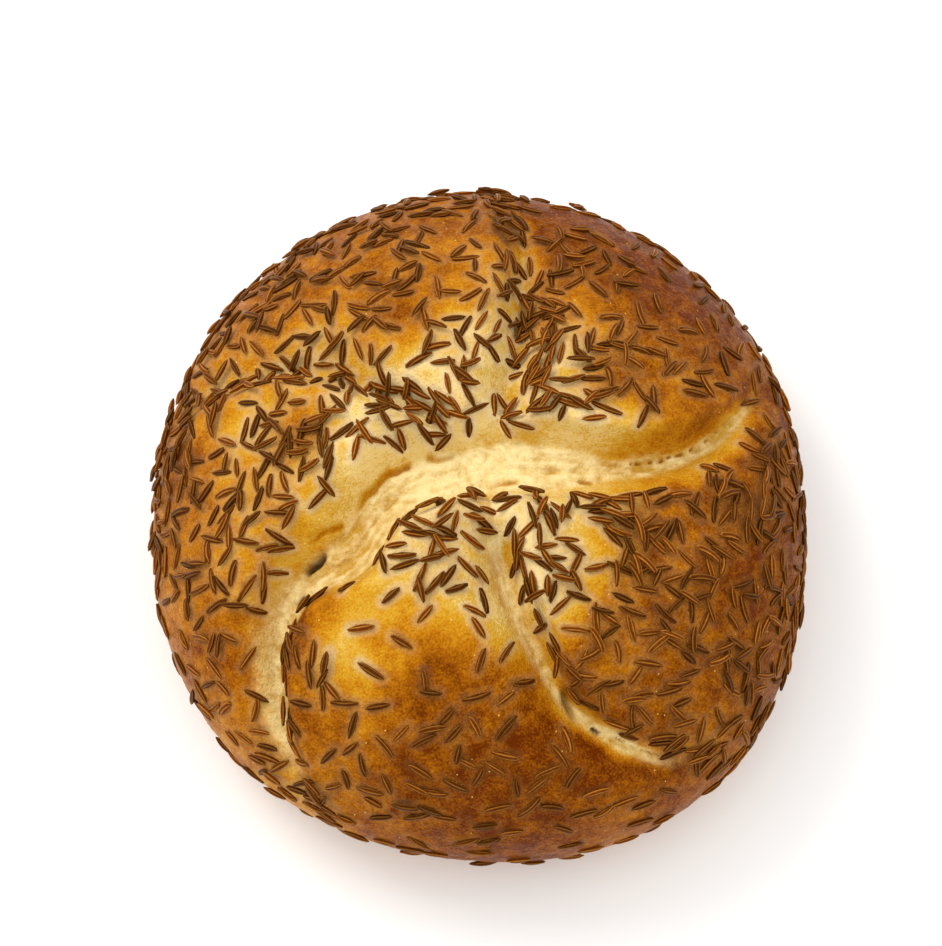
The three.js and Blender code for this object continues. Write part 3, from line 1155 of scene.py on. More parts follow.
@dataclass(frozen=True)
class CrustFinish:
    """Baked crust: cream in the folds, golden on the banks and brown on the petals.

    Attributes:
        stops: Where cream, straw, gold, amber, brown and dark brown stand on the scale of baking.
        grain_sizes: Sizes of its broad, middle and fine grain, in millimetres.
        mottling: How much each of those changes the baking.
        crumb_mottling: How much the middle and the fine grain change the crumb's shade.
        glint_spacing: Distance between the cells that may hold a painted highlight dot, in millimetres.
        glint_area: Size of the areas that have glints, in millimetres.
        glint_reach: Radius of a glint, as a share of the spacing.
        glint_choice: Cells with a draw above this get a painted highlight dot.
        glint_share: How much of its colour a glint gives the crust.
        crumb_dulling: How much rougher the crumb is than the crust.
        uneven_gloss: How much the middle grain changes the roughness.
        pimple_mix: Share of the fine grain in the pimples.
        pimple_height: Height of the pimples, in millimetres.
    """

    cream: Colour = srgb(230, 198, 122)
    straw: Colour = srgb(212, 168, 66)
    gold: Colour = srgb(202, 146, 30)
    amber: Colour = srgb(184, 114, 12)
    brown: Colour = srgb(144, 78, 4)
    dark_brown: Colour = srgb(98, 38, 1)
    crumb_light: Colour = srgb(244, 222, 160)
    crumb_shade: Colour = srgb(192, 146, 54)
    pale_halo: Colour = srgb(238, 212, 164)
    brown_halo: Colour = srgb(154, 98, 32)
    # Painted shade: near-black colour put into the narrow tear openings, where shade falls.
    painted_crease_shade: Colour = srgb(70, 34, 8)
    # Painted highlight: colour of the small glint dots that stand in for sparkles of light on the crust.
    glint: Colour = srgb(255, 222, 120)
    flour: Colour = srgb(205, 168, 112)
    sheen_tint: Colour = (1.0, 0.64, 0.24, 1.0)
    stops: tuple[float, ...] = (0.0, 0.18, 0.38, 0.58, 0.80, 1.0)
    grain_sizes: tuple[float, float, float] = (3.2, 0.9, 0.34)
    mottling: tuple[float, float, float] = (0.55, 0.28, 0.50)
    crumb_mottling: tuple[float, float] = (0.5, 0.5)
    glint_spacing: float = 1.5
    glint_area: float = 14
    glint_reach: float = 0.09
    glint_choice: float = 0.55
    glint_share: float = 0.55
    roughness: float = 0.40
    crumb_dulling: float = 0.35
    uneven_gloss: float = 0.3
    sheen: float = 0.07
    pimple_mix: float = 0.6
    pimple_strength: float = 0.7
    pimple_height: float = 0.4

    def material(self, grain: Grain) -> bpy.types.Material:
        """Builds the crust's material.

        Args:
            grain: The group of fine grain.

        Returns:
            The material.
        """
        material, build, shader = new_material("baked_crust")
        fine = grain.place(build, *self.grain_sizes)
        layers = [fine.outputs[layer] for layer in ("Broad", "Middle", "Fine")]
        baked, crumb = build.attribute("bake"), build.attribute("crumb")
        bake = self.mottled(build, baked, layers, self.mottling)
        tones = (self.cream, self.straw, self.gold, self.amber, self.brown, self.dark_brown)
        colour = build.ramp(bake, list(zip(self.stops, tones)))
        shade = self.mottled(build, build.attribute("crumb_shade"), layers[1:], self.crumb_mottling)
        torn = build.ramp(shade, [(0.0, self.crumb_light), (1.0, self.crumb_shade)])
        halo = build.colour_mix(baked, self.pale_halo, self.brown_halo)
        # Over the baked tone go the crumb, the seeds' halos, painted highlight dots, painted shade in the
        # tear openings and the flour.
        for share, over in (
            (crumb, torn),
            (build.attribute("halo"), halo),
            (self.glints(build, crumb), self.glint),
            (build.attribute("painted_crease_shade"), self.painted_crease_shade),
            (build.attribute("flour"), self.flour),
        ):
            colour = build.colour_mix(share, colour, over)
        rough = build.math("MULTIPLY_ADD", crumb, self.crumb_dulling, self.roughness)
        rough = build.math("MULTIPLY_ADD", fine.outputs["Middle"], self.uneven_gloss, rough)
        pimples = build.math("MULTIPLY_ADD", fine.outputs["Fine"], self.pimple_mix, fine.outputs["Middle"])
        inputs = {
            "Base Color": colour,
            "Roughness": rough,
            "Normal": build.bump(pimples, self.pimple_strength, self.pimple_height),
            "Specular IOR Level": self.sheen,
            "Specular Tint": self.sheen_tint,
        }
        build.fill(shader, inputs)
        return material

    def mottled(
        self,
        build: NodeBuilder,
        value: bpy.types.NodeSocket,
        layers: list[bpy.types.NodeSocket],
        shares: tuple[float, ...],
    ) -> bpy.types.NodeSocket:
        """Makes a value uneven with layers of grain.

        Args:
            build: Builder on the material's tree.
            value: The value.
            layers: The layers of grain.
            shares: How much each of them adds.

        Returns:
            The uneven value, from 0 to 1.
        """
        for layer, share in zip(layers, shares):
            last = layer == layers[-1]
            value = build.math("MULTIPLY_ADD", layer, share, value, clamp=last)
        return value

    def glints(self, build: NodeBuilder, crumb: bpy.types.NodeSocket) -> bpy.types.NodeSocket:
        """Painted highlights: sparse small bright dots put into the crust's colour as glints of light.

        Args:
            build: Builder on the material's tree.
            crumb: Mask of the crumb, which has none.

        Returns:
            Their mask.
        """
        position = build.add("ShaderNodeTexCoord").outputs["Object"]
        spacing, area = 1 / (self.glint_spacing * MM), 1 / (self.glint_area * MM)
        cells = build.add("ShaderNodeTexVoronoi", {"Vector": position, "Scale": spacing})
        areas = build.add("ShaderNodeTexNoise", {"Vector": position, "Scale": area})
        chosen = build.math("GREATER_THAN", cells.outputs["Color"], self.glint_choice)
        clustered = build.math("GREATER_THAN", areas.outputs[0], 0.5)
        near = build.math("LESS_THAN", cells.outputs["Distance"], self.glint_reach)
        dots = build.math("MULTIPLY", build.math("MULTIPLY", chosen, near), clustered)
        share = build.math("MULTIPLY", dots, self.glint_share)
        return build.math("MULTIPLY", share, build.math("SUBTRACT", 1.0, crumb, clamp=True))


@dataclass(frozen=True)
class SeedFinish:
    """Caraway: dark brown with paler ribs, each seed a little lighter or darker.

    Attributes:
        grain_sizes: Sizes of its broad, middle and fine grain, in millimetres.
        rib_sharpness: Power that narrows the pale line on each rib.
        rib_grain: How much the middle grain breaks that line.
        darkest: Brightness of the darkest seed.
        tint_range: How much brighter the lightest seed is.
        wrinkle_height: Height of the fine wrinkles, in millimetres.
    """

    furrow: Colour = srgb(88, 33, 1)
    rib: Colour = srgb(176, 120, 42)
    sheen_tint: Colour = (1.0, 0.66, 0.25, 1.0)
    grain_sizes: tuple[float, float, float] = (1.6, 0.5, 0.16)
    rib_sharpness: float = 3.0
    rib_grain: float = 0.4
    darkest: float = 0.45
    tint_range: float = 0.9
    roughness: float = 0.5
    sheen: float = 0.12
    wrinkle_strength: float = 0.4
    wrinkle_height: float = 0.08

    def material(self, grain: Grain) -> bpy.types.Material:
        """Builds the seeds' material.

        Args:
            grain: The group of fine grain.

        Returns:
            The material.
        """
        material, build, shader = new_material("caraway_seed")
        fine = grain.place(build, *self.grain_sizes)
        rib = build.math("POWER", build.attribute("rib"), self.rib_sharpness)
        rib = build.math("MULTIPLY_ADD", fine.outputs["Middle"], self.rib_grain, rib, clamp=True)
        colour = build.colour_mix(rib, self.furrow, self.rib)
        tint = build.math("MULTIPLY_ADD", build.attribute("tint"), self.tint_range, self.darkest)
        tinted = build.add("ShaderNodeVectorMath", {0: colour, "Scale": tint}, operation="SCALE")
        inputs = {
            "Base Color": tinted.outputs[0],
            "Roughness": self.roughness,
            "Normal": build.bump(fine.outputs["Fine"], self.wrinkle_strength, self.wrinkle_height),
            "Specular IOR Level": self.sheen,
            "Specular Tint": self.sheen_tint,
        }
        build.fill(shader, inputs)
        return material


@dataclass(frozen=True)
class FloorFinish:
    """Plain white table."""

    white: Colour = (0.95, 0.955, 0.96, 1.0)
    roughness: float = 0.9
    sheen: float = 0.1

    def material(self) -> bpy.types.Material:
        """Builds the floor's material.

        Returns:
            The material.
        """
        material, build, shader = new_material("white_table")
        inputs = {"Base Color": self.white, "Roughness": self.roughness, "Specular IOR Level": self.sheen}
        build.fill(shader, inputs)
        return material


@dataclass(frozen=True)
class Tear:
    """A narrow opening that runs along a fold.

    Attributes:
        fold: Number of the fold.
        begin: Share at which it starts.
        end: Share at which it ends.
        across: Distance from the fold's middle line at its start and its end, positive on the lip.
        width: Half of its width.
        depth: How deep it is.
        dark: How much painted shade darkens its opening, from 0 to 1.
        toast: How golden brown its edges look, from 0 to 1.
        hole: Length of each hole where it is a row of holes, and 0 where it is unbroken.
        shake: How far it strays from its line.
        shake_length: Length of one stray bend.
        hole_edge: Values of noise over which a hole opens.
        widest: Distance from the middle line that no tear goes past.
        apart: Distance in the noise between the tears of one fold and the next.
    """

    fold: int
    begin: float
    end: float
    across: Span
    width: float
    depth: float
    dark: float
    toast: float = 0.0
    hole: float = 0.0
    shake: float = 0.35
    shake_length: float = 2.2
    hole_edge: Step = Step(-0.05, 0.22)
    widest: float = 14
    apart: float = 7.0

    def mask(self, offset: Array, along: Array, share: Array) -> Array:
        """How open it is at each place, from 0 to 1.

        Args:
            offset: Distances from the fold's middle line.
            along: Distances along the fold.
            share: Shares of the places.

        Returns:
            The mask.
        """
        beside_fold = np.abs(offset) < self.widest
        near = np.flatnonzero((share > self.begin) & (share < self.end) & beside_fold)
        line = np.column_stack([along[near], np.full(len(near), self.apart * self.fold), 0 * near])
        run = np.clip((share[near] - self.begin) / (self.end - self.begin), 0, 1)
        stray = self.shake * noise_field(line, self.shake_length, Pattern.TEAR_PATH)
        beside = offset[near] - self.across.at(run) - stray
        opened = np.sqrt(np.sin(math.pi * run))
        if self.hole:
            opened = opened * self.hole_edge.at(noise_field(line, self.hole, Pattern.HOLES))
        mask = np.zeros(share.shape)
        mask[near] = opened * np.exp(-((beside / self.width) ** 2))
        return mask


@dataclass(frozen=True)
class Grid:
    """Where the points of the crust's mesh lie: a pole, rings of fitting counts, and a pole.

    Attributes:
        crown_spacing: Distance between points on the crown.
        flank_spacing: The same on the flank.
        base_spacing: The same on the underside.
        crown_end: Travel at which the crown's spacing ends.
        crowding: How many more points lie in the torn folds, as a share.
        crowding_reach: Distance past a fold's floor over which that ends.
        profile_steps: Steps in which the length of the profile is measured.
        ring_samples: Steps in which the length of a ring is measured.
        fewest: Least number of points in a ring.
    """

    form: RollForm
    crown_spacing: float = 0.44
    flank_spacing: float = 0.75
    base_spacing: float = 1.8
    crown_end: float = 1.05
    crowding: float = 1.0
    crowding_reach: float = 4.5
    profile_steps: int = 3000
    ring_samples: int = 1440
    fewest: int = 6

    def spacing_at(self, travel: Array) -> Array:
        """Distance between points at a travel."""
        zones = [self.crown_spacing, self.flank_spacing]
        return np.select([travel < self.crown_end, travel < 2], zones, self.base_spacing)

    def rows(self) -> Array:
        """Travels of the rings, evenly spaced along the profile in each zone.

        Returns:
            The travels, from pole to pole.
        """
        travel = np.linspace(0, 3, self.profile_steps)
        share, height = self.form.profile(travel)
        steps = np.hypot(np.diff(share * self.form.mean_radius), np.diff(height))
        ticks = np.concatenate([[0], np.cumsum(steps / self.spacing_at(travel[1:]))])
        wanted = np.linspace(0, ticks[-1], int(round(ticks[-1])) + 1)
        return np.interp(wanted, ticks, travel)

    def ring(self, travel: float) -> Array:
        """Angles of the points of one ring, closer together in the torn folds.

        Args:
            travel: Travel of the ring.

        Returns:
            The angles, anticlockwise.
        """
        share = self.form.profile(np.array([travel]))[0][0]
        angle = np.linspace(0, TURN, self.ring_samples + 1)
        radius = self.form.outline(angle)
        crowd = np.zeros(angle.shape)
        torn = self.form.torn_folds() if travel < 1 else []
        for _, fold in torn:
            offset = fold.offset(angle, share, radius)
            reach = fold.floor.at(share) / 2 + self.crowding_reach
            crowd = np.maximum(crowd, fold.strength(share) * np.exp(-((offset / reach) ** 4)))
        weight = 1 + self.crowding * crowd
        length = TURN * share * self.form.mean_radius * weight.mean()
        count = max(self.fewest, int(round(length / self.spacing_at(np.array(travel)))))
        total = np.concatenate([[0], np.cumsum((weight[1:] + weight[:-1]) / 2)])
        return np.interp(np.linspace(0, total[-1], count + 1)[:-1], total, angle)

    def points(self) -> tuple[Place, list[int]]:
        """Works out every point's place.

        Returns:
            The places, and the number of points in each ring.
        """
        rows = self.rows()
        pole = np.zeros(1)
        angles = [pole, *(self.ring(row) for row in rows[1:-1]), pole]
        travels = [np.full(len(ring), row) for ring, row in zip(angles, rows)]
        return Place(np.concatenate(angles), np.concatenate(travels)), [len(ring) for ring in angles]

    def faces(self, place: Place, counts: list[int]) -> list[Triangle]:
        """Triangles between each ring and the next, facing outwards.

        Args:
            place: The points' places.
            counts: Number of points in each ring.

        Returns:
            The triangles, as numbers of points.
        """
        triangles = []
        start = 0
        for upper, lower in zip(counts, counts[1:]):
            below = start + upper
            top_angles = [*place.angle[start:below].tolist(), TURN]
            bottom_angles = [*place.angle[below : below + lower].tolist(), TURN]
            high = low = 0
            while high < upper or low < lower:
                top, bottom = start + high % upper, below + low % lower
                if high == upper or (low < lower and bottom_angles[low + 1] <= top_angles[high + 1]):
                    low += 1
                    if lower > 1:
                        triangles.append((top, bottom, below + low % lower))
                else:
                    high += 1
                    if upper > 1:
                        triangles.append((top, bottom, start + high % upper))
            start = below
        return triangles


@dataclass(frozen=True)
class Crumb:
    """The torn crumb of the deep folds: where it shows, its fibres and its tears.

    Attributes:
        ragged: How far noise moves the crumb's edge.
        edge: Distance past the floor's edge at which the crumb begins to end.
        lip_edge: Distance up the lip at which it ends.
        strength: Strengths of a fold over which its crumb begins to show.
        dulling: Shares over which it grows duller.
        fibre_zone: Distance past the floor's edge that fibres reach.
        fibre_size: Length and width of a fibre along the fold.
        cross_fibre_size: The same for a fibre across it.
        outer_floor: Shares over which the fibres turn across.
        layer_gap: Distance in the noise between the fibres of one fold and the next.
        spread: How much wider a tear's colours are than its opening.
        tears: The tears in it.
    """

    form: RollForm
    ragged: float = 0.8
    edge: float = -0.7
    lip_edge: float = 0.4
    strength: Step = Step(0.02, 0.35)
    dulling: Step = Step(0.12, 0.42)
    fibre_zone: float = 3
    fibre_size: tuple[float, float] = (5.0, 0.9)
    cross_fibre_size: tuple[float, float] = (6.0, 0.7)
    outer_floor: Step = Step(0.52, 0.62)
    layer_gap: float = 5.0
    spread: float = 1.4
    tears: tuple[Tear, ...] = (
        Tear(0, 0.36, 0.81, Span(0.9, 0.8), 0.28, 0.6, dark=0.35, toast=0.9, hole=0.9, shake=0.5),
        Tear(0, 0.04, 0.50, Span(-0.6, 0.4), 0.35, 0.4, dark=0.0, toast=0.35, hole=2.4, shake=1.4),
        Tear(0, 0.06, 0.12, Span(-2.6, -2.6), 0.5, 0.7, dark=0.15, toast=0.8),
        Tear(0, 0.29, 0.34, Span(-2.3, -2.3), 0.4, 0.6, dark=0.2, toast=0.8),
        Tear(3, 0.04, 0.60, Span(-3.2, -5.4), 0.50, 0.6, dark=0.12, toast=0.85, hole=3.6, shake=0.9),
        Tear(3, 0.10, 0.50, Span(-1.0, -3.4), 0.35, 0.4, dark=0.0, toast=0.45, hole=2.2, shake=1.2),
        Tear(3, 0.515, 0.60, Span(-3.0, -1.8), 0.55, 2.2, dark=0.9, shake=0.6),
        Tear(3, 0.63, 0.67, Span(0.8, 0.8), 0.5, 1.2, dark=0.85),
        Tear(4, 0.64, 0.75, Span(1.6, -1.2), 0.5, 1.3, dark=0.45, toast=0.4),
        Tear(4, 0.770, 0.796, Span(-0.4, -0.4), 0.4, 1.2, dark=0.95),
        Tear(4, 0.79, 0.91, Span(0.5, 0.7), 0.25, 0.5, dark=0.25, toast=0.7, hole=0.7, shake=0.4),
    )

    def shown(self, place: Place, shaken: Array) -> tuple[Array, Array]:
        """Where the crumb shows, and how dull it is.

        Args:
            place: Where on the body.
            shaken: Noise that makes its edges uneven.

        Returns:
            1 on crumb and 0 on crust, and the dullness, for each place.
        """
        share, radius = self.form.share_and_radius(place)
        mask = np.zeros(place.angle.shape)
        dull = np.zeros(place.angle.shape)
        for _, fold in self.form.torn_folds():
            offset = fold.offset(place.angle, share, radius)
            past = fold.past_floor(offset, share) + self.ragged * shaken
            end = np.where(offset > 0, self.lip_edge, fold.pale_bank.at(share))
            shown = (1 - smooth(past, self.edge, end)) * self.strength.at(fold.strength(share))
            dull = np.where(shown > mask, fold.dullness * self.dulling.at(share), dull)
            mask = np.maximum(mask, shown)
        return mask, dull

    def fibres(self, place: Place) -> Array:
        """Fine fibres on the floors of the torn folds.

        Args:
            place: Where on the body.

        Returns:
            Their height at each place, from about -1 to 1.
        """
        share, radius = self.form.share_and_radius(place)
        fibres = np.zeros(place.angle.shape)
        for number, fold in self.form.torn_folds():
            offset = fold.offset(place.angle, share, radius)
            near = np.flatnonzero(fold.past_floor(offset, share) < self.fibre_zone)
            run, beside = share[near] * radius[near], offset[near]
            layer = np.full(len(near), self.layer_gap * number)
            length, width = self.fibre_size
            lines = np.column_stack([run / length, beside / width, layer])
            along = noise_field(lines, 1.0, Pattern.LONG_FIBRES, 2)
            length, width = self.cross_fibre_size
            lines = np.column_stack([run / width, beside / length, layer])
            across = noise_field(lines, 1.0, Pattern.CROSS_FIBRES, 2)
            fibres[near] = mix(along, across, fold.cross_fibres * self.outer_floor.at(share[near]))
        return fibres

    def openings(self, place: Place) -> tuple[Array, Array, Array]:
        """Tears at each place.

        Args:
            place: Where on the body.

        Returns:
            Their depth, the painted shade in their openings and their toasting.
        """
        share, radius = self.form.share_and_radius(place)
        depth, dark, toast = (np.zeros(place.angle.shape) for _ in range(3))
        for tear in self.tears:
            offset = self.form.folds[tear.fold].offset(place.angle, share, radius)
            mask = tear.mask(offset, share * radius, share)
            stain = np.minimum(self.spread * mask, 1)
            depth = np.maximum(depth, tear.depth * mask)
            # Painted shade: the openings are darkened where shade falls in them.
            dark = np.maximum(dark, tear.dark * stain)
            toast = np.maximum(toast, tear.toast * stain)
        return depth, dark, toast


@dataclass(frozen=True)
class Browning:
    """How brown the crust is: by petal, paler down into the folds and near the base.

    Attributes:
        patches: Where it is browner or paler than its petal: partly uneven baking, partly painted light and
            shade.
        ragged: How far noise moves the edges of the pale banks.
        lip_width: Width over which the crust of a lip turns as brown as its petal.
        strength: Strengths of a fold over which it makes the crust paler.
        depth: Depths of a fold over which it does.
        edge: Distance past the floor's edge at which the crust begins to turn brown.
        rim: How much browner the raised edge of the torn crust is.
        rim_place: Distance of that edge past the floor's.
        rim_width: Width of that edge.
        rim_end: Shares over which it ends.
        rim_breaks: Values of noise over which it begins, as it is broken.
        low_flank: Travels over which the flank takes the same tone all round.
        low_bake: That tone.
        low_share: How far the flank takes it.
        unevenness: How much noise changes the tone.
        most: The brownest that the crust gets.
    """

    form: RollForm
    # Soft patches of browner or paler crust: partly uneven baking, partly painted light and shade.
    patches: tuple[Patch, ...] = (
        Patch(6, 31, 8, -0.30),
        Patch(-11, 22, 9, 0.26),
        Patch(-10, 12, 6, -0.16),
        Patch(17, 21, 6, -0.32),
        Patch(20, 12, 5, 0.24),
        Patch(25, 4, 7, -0.22),
        Patch(19, -11, 8, 0.18),
        Patch(-43, 19, 9, -0.20),
        Patch(-25, 20, 7, -0.26),
        Patch(-27, 5, 5, 0.30),
        Patch(-37, 6, 5, -0.20),
        Patch(-48, 3, 7, 0.18),
        Patch(-40, -28, 7, 0.20),
        Patch(-28, -28, 5, 0.34),
        Patch(-20, -31, 6, -0.44),
        Patch(-22, -48, 8, -0.12),
        Patch(-5, -34, 10, 0.16),
        Patch(5, -26, 8, -0.40),
        Patch(6, -46, 12, 0.16),
        Patch(32, 32, 12, 0.10),
        Patch(38, -18, 8, 0.08),
        Patch(36, -43, 8, -0.14),
        Patch(22, -56, 6, -0.16),
    )
    ragged: float = 0.7
    lip_width: float = 2.6
    strength: Step = Step(0.0, 0.5)
    depth: Step = Step(1.0, 4.2)
    edge: float = -0.4
    rim: float = 0.30
    rim_place: float = 0.8
    rim_width: float = 0.6
    rim_end: Step = Step(0.45, 0.65)
    rim_breaks: Step = Step(-0.3, 0.4)
    low_flank: Step = Step(0.92, 1.6)
    low_bake: float = 0.5
    low_share: float = 0.7
    unevenness: float = 0.10
    most: float = 0.95

    def at(self, place: Place, points: Array, shaken: Array) -> Array:
        """How brown the crust is, from 0 for cream to 1 for dark brown.

        Args:
            place: Where on the body.
            points: The same places as points, in millimetres.
            shaken: Noise that makes its edges uneven.

        Returns:
            One value for each place.
        """
        form = self.form
        share, radius = form.share_and_radius(place)
        number, across = form.petal_at(place.angle, share)
        baked = [one.bake.at(share) + one.bake_lean.at(across) for one in form.petals]
        # The patches add painted light and shade as well as uneven baking.
        petal = form.petal_value(number, baked) + sum(patch.at(points) for patch in self.patches)
        crust = petal
        for fold in form.folds:
            offset = fold.offset(place.angle, share, radius)
            width = np.where(offset > 0, self.lip_width, fold.browning.at(share))
            past = fold.past_floor(offset, share) + self.ragged * shaken
            shown = self.strength.at(fold.strength(share)) * self.depth.at(fold.depth)
            paler = (1 - smooth(past, self.edge, width)) * shown
            crust = np.minimum(crust, mix(petal, np.minimum(petal, fold.edge_bake), paler))
            if fold.depth > form.torn_depth:
                from_rim = (past - self.rim_place) / self.rim_width
                rim = np.exp(-(from_rim**2)) * (1 - self.rim_end.at(share))
                crust = crust + self.rim * rim * shown * self.rim_breaks.at(shaken)
        low = self.low_share * self.low_flank.at(place.travel)
        return np.minimum(mix(crust, self.low_bake, low) + self.unevenness * shaken, self.most)


@dataclass(frozen=True)
class SeedMarks:
    """Pale halos and shallow dents that the seeds leave in the crust.

    Attributes:
        halo: Distances from a seed over which its halo ends.
        dent: Distances from a seed over which its dent ends.
        core: Half the length of a seed's straight middle, as a share of its length.
        margin: Distance past the halo in which points are looked for.
    """

    seeds: Seeds
    halo: Step = Step(0.05, 1.0)
    dent: Step = Step(-0.3, 0.5)
    core: float = 0.42
    margin: float = 0.5

    def on(self, points: Array) -> tuple[Array, Array]:
        """Works out the marks at points of the crust.

        Args:
            points: The points, in millimetres.

        Returns:
            How strong the halo and the dent are at each point, from 0 to 1.
        """
        halo = np.zeros(len(points))
        dent = np.zeros(len(points))
        tree = kdtree.KDTree(len(points))
        for index, point in enumerate(points):
            tree.insert(point, index)
        tree.balance()
        seeds = self.seeds
        for index, middle in enumerate(seeds.points):
            reach = seeds.length[index] / 2 + self.halo.high + self.margin
            found = [hit[1] for hit in tree.find_range(middle, reach)]
            if not found:
                continue
            away = points[found] - middle
            half = self.core * seeds.length[index]
            along = away @ seeds.along[index]
            nearest = np.clip(along, -half, half)[:, None] * seeds.along[index]
            gap = np.linalg.norm(away - nearest, axis=1) - seeds.width[index] / 2
            halo[found] = np.maximum(halo[found], 1 - self.halo.at(gap))
            dent[found] = np.maximum(dent[found], 1 - self.dent.at(gap))
        return halo, dent


@dataclass(frozen=True)
class Crust:
    """The baked body as one fine closed mesh with the values that its finish reads.

    Attributes:
        octaves: Layers of each noise.
        broad_size: Size of the lumps that make edges and tones uneven.
        torn_size: Size of the lumps of torn crumb.
        skin_size: Size of the soft lumps of the skin.
        crumb_relief: Height of the torn crumb.
        fibre_relief: Height of its fibres.
        skin_relief: Height of the skin's lumps.
        skin_end: Travels over which those end above the underside.
        seed_dent: Depth of the dent under a seed.
        toast_bake: How brown the toasted edge of a tear is.
        shade: Shade of the crumb without what changes it.
        torn_shade: How much its lumps, fibres and the broad noise change that; where lumps and fibres lie
            lower the crumb is darker, as painted shade in their hollows.
        halo_share: Strength of the halo round a seed on pale crust.
        brown_halo: What that is multiplied by on brown crust.
        halo_fade: Values of baking over which it changes.
        flour: How much flour the underside has.
        floury: Travels over which the flour begins.
    """

    form: RollForm
    seeds: Seeds
    finish: CrustFinish
    grain: Grain
    octaves: int = 3
    broad_size: float = 7.0
    torn_size: float = 1.6
    skin_size: float = 3.2
    crumb_relief: float = 0.30
    fibre_relief: float = 0.20
    skin_relief: float = 0.16
    skin_end: Step = Step(1.3, 1.95)
    seed_dent: float = 0.14
    toast_bake: float = 0.62
    shade: float = 0.12
    torn_shade: tuple[float, float, float] = (0.45, 0.4, 0.35)
    halo_share: float = 0.64
    brown_halo: float = 0.34
    halo_fade: Step = Step(0.25, 0.65)
    flour: float = 0.6
    floury: Step = Step(1.85, 2.05)

    def build(self) -> bpy.types.Object:
        """Makes the mesh, stores the values of the finish on it and dresses it.

        Returns:
            The crust.
        """
        grid, crumb = Grid(self.form), Crumb(self.form)
        place, counts = grid.points()
        base = self.form.surface(place)
        broad = noise_field(base, self.broad_size, Pattern.BROAD, self.octaves)
        torn = noise_field(base, self.torn_size, Pattern.CRUMB, self.octaves)
        skin = noise_field(base, self.skin_size, Pattern.SKIN, self.octaves)
        fibres = crumb.fibres(place)
        opening, dark, toast = crumb.openings(place)
        bare, dull = crumb.shown(place, broad)
        halo, dent = SeedMarks(self.seeds).on(base)
        on_crown = 1 - self.skin_end.at(place.travel)
        extra = (self.crumb_relief * torn + self.fibre_relief * fibres) * bare
        extra += self.skin_relief * skin * on_crown * (1 - bare)
        extra -= self.seed_dent * dent * (1 - bare) + opening
        points = self.form.surface(place, extra)
        mesh = bpy.data.meshes.new("crust")
        mesh.from_pydata((points * MM).tolist(), [], grid.faces(place, counts))
        mesh.update()
        mesh.shade_smooth()
        bake = np.maximum(Browning(self.form).at(place, base, broad), self.toast_bake * toast)
        # Painted shade on the crumb: darker where its lumps and fibres lie lower, over its own duller tone
        # out along the arms.
        by_lumps, by_fibres, by_broad = self.torn_shade
        shade = self.shade + dull - by_lumps * torn - by_fibres * fibres - by_broad * broad
        fade = mix(1.0, self.brown_halo, self.halo_fade.at(bake))
        values = {
            "bake": bake,
            "crumb": bare * (1 - toast),
            "crumb_shade": np.clip(shade, 0, 1),
            "halo": self.halo_share * halo * (1 - bare) * fade,
            # Painted shade deep in the tear openings.
            "painted_crease_shade": dark,
            "flour": self.flour * self.floury.at(place.travel),
        }
        for name, value in values.items():
            layer = mesh.attributes.new(name, "FLOAT", "POINT")
            layer.data.foreach_set("value", value.astype(np.float32))
        mesh.materials.append(self.finish.material(self.grain))
        return placed("crust", mesh)


class SeedShape(Enum):
    """How far a seed's middle stands off the line between its ends, as a share of its length."""

    STRAIGHT = 0.02
    CURVED = 0.07
    CRESCENT = 0.13


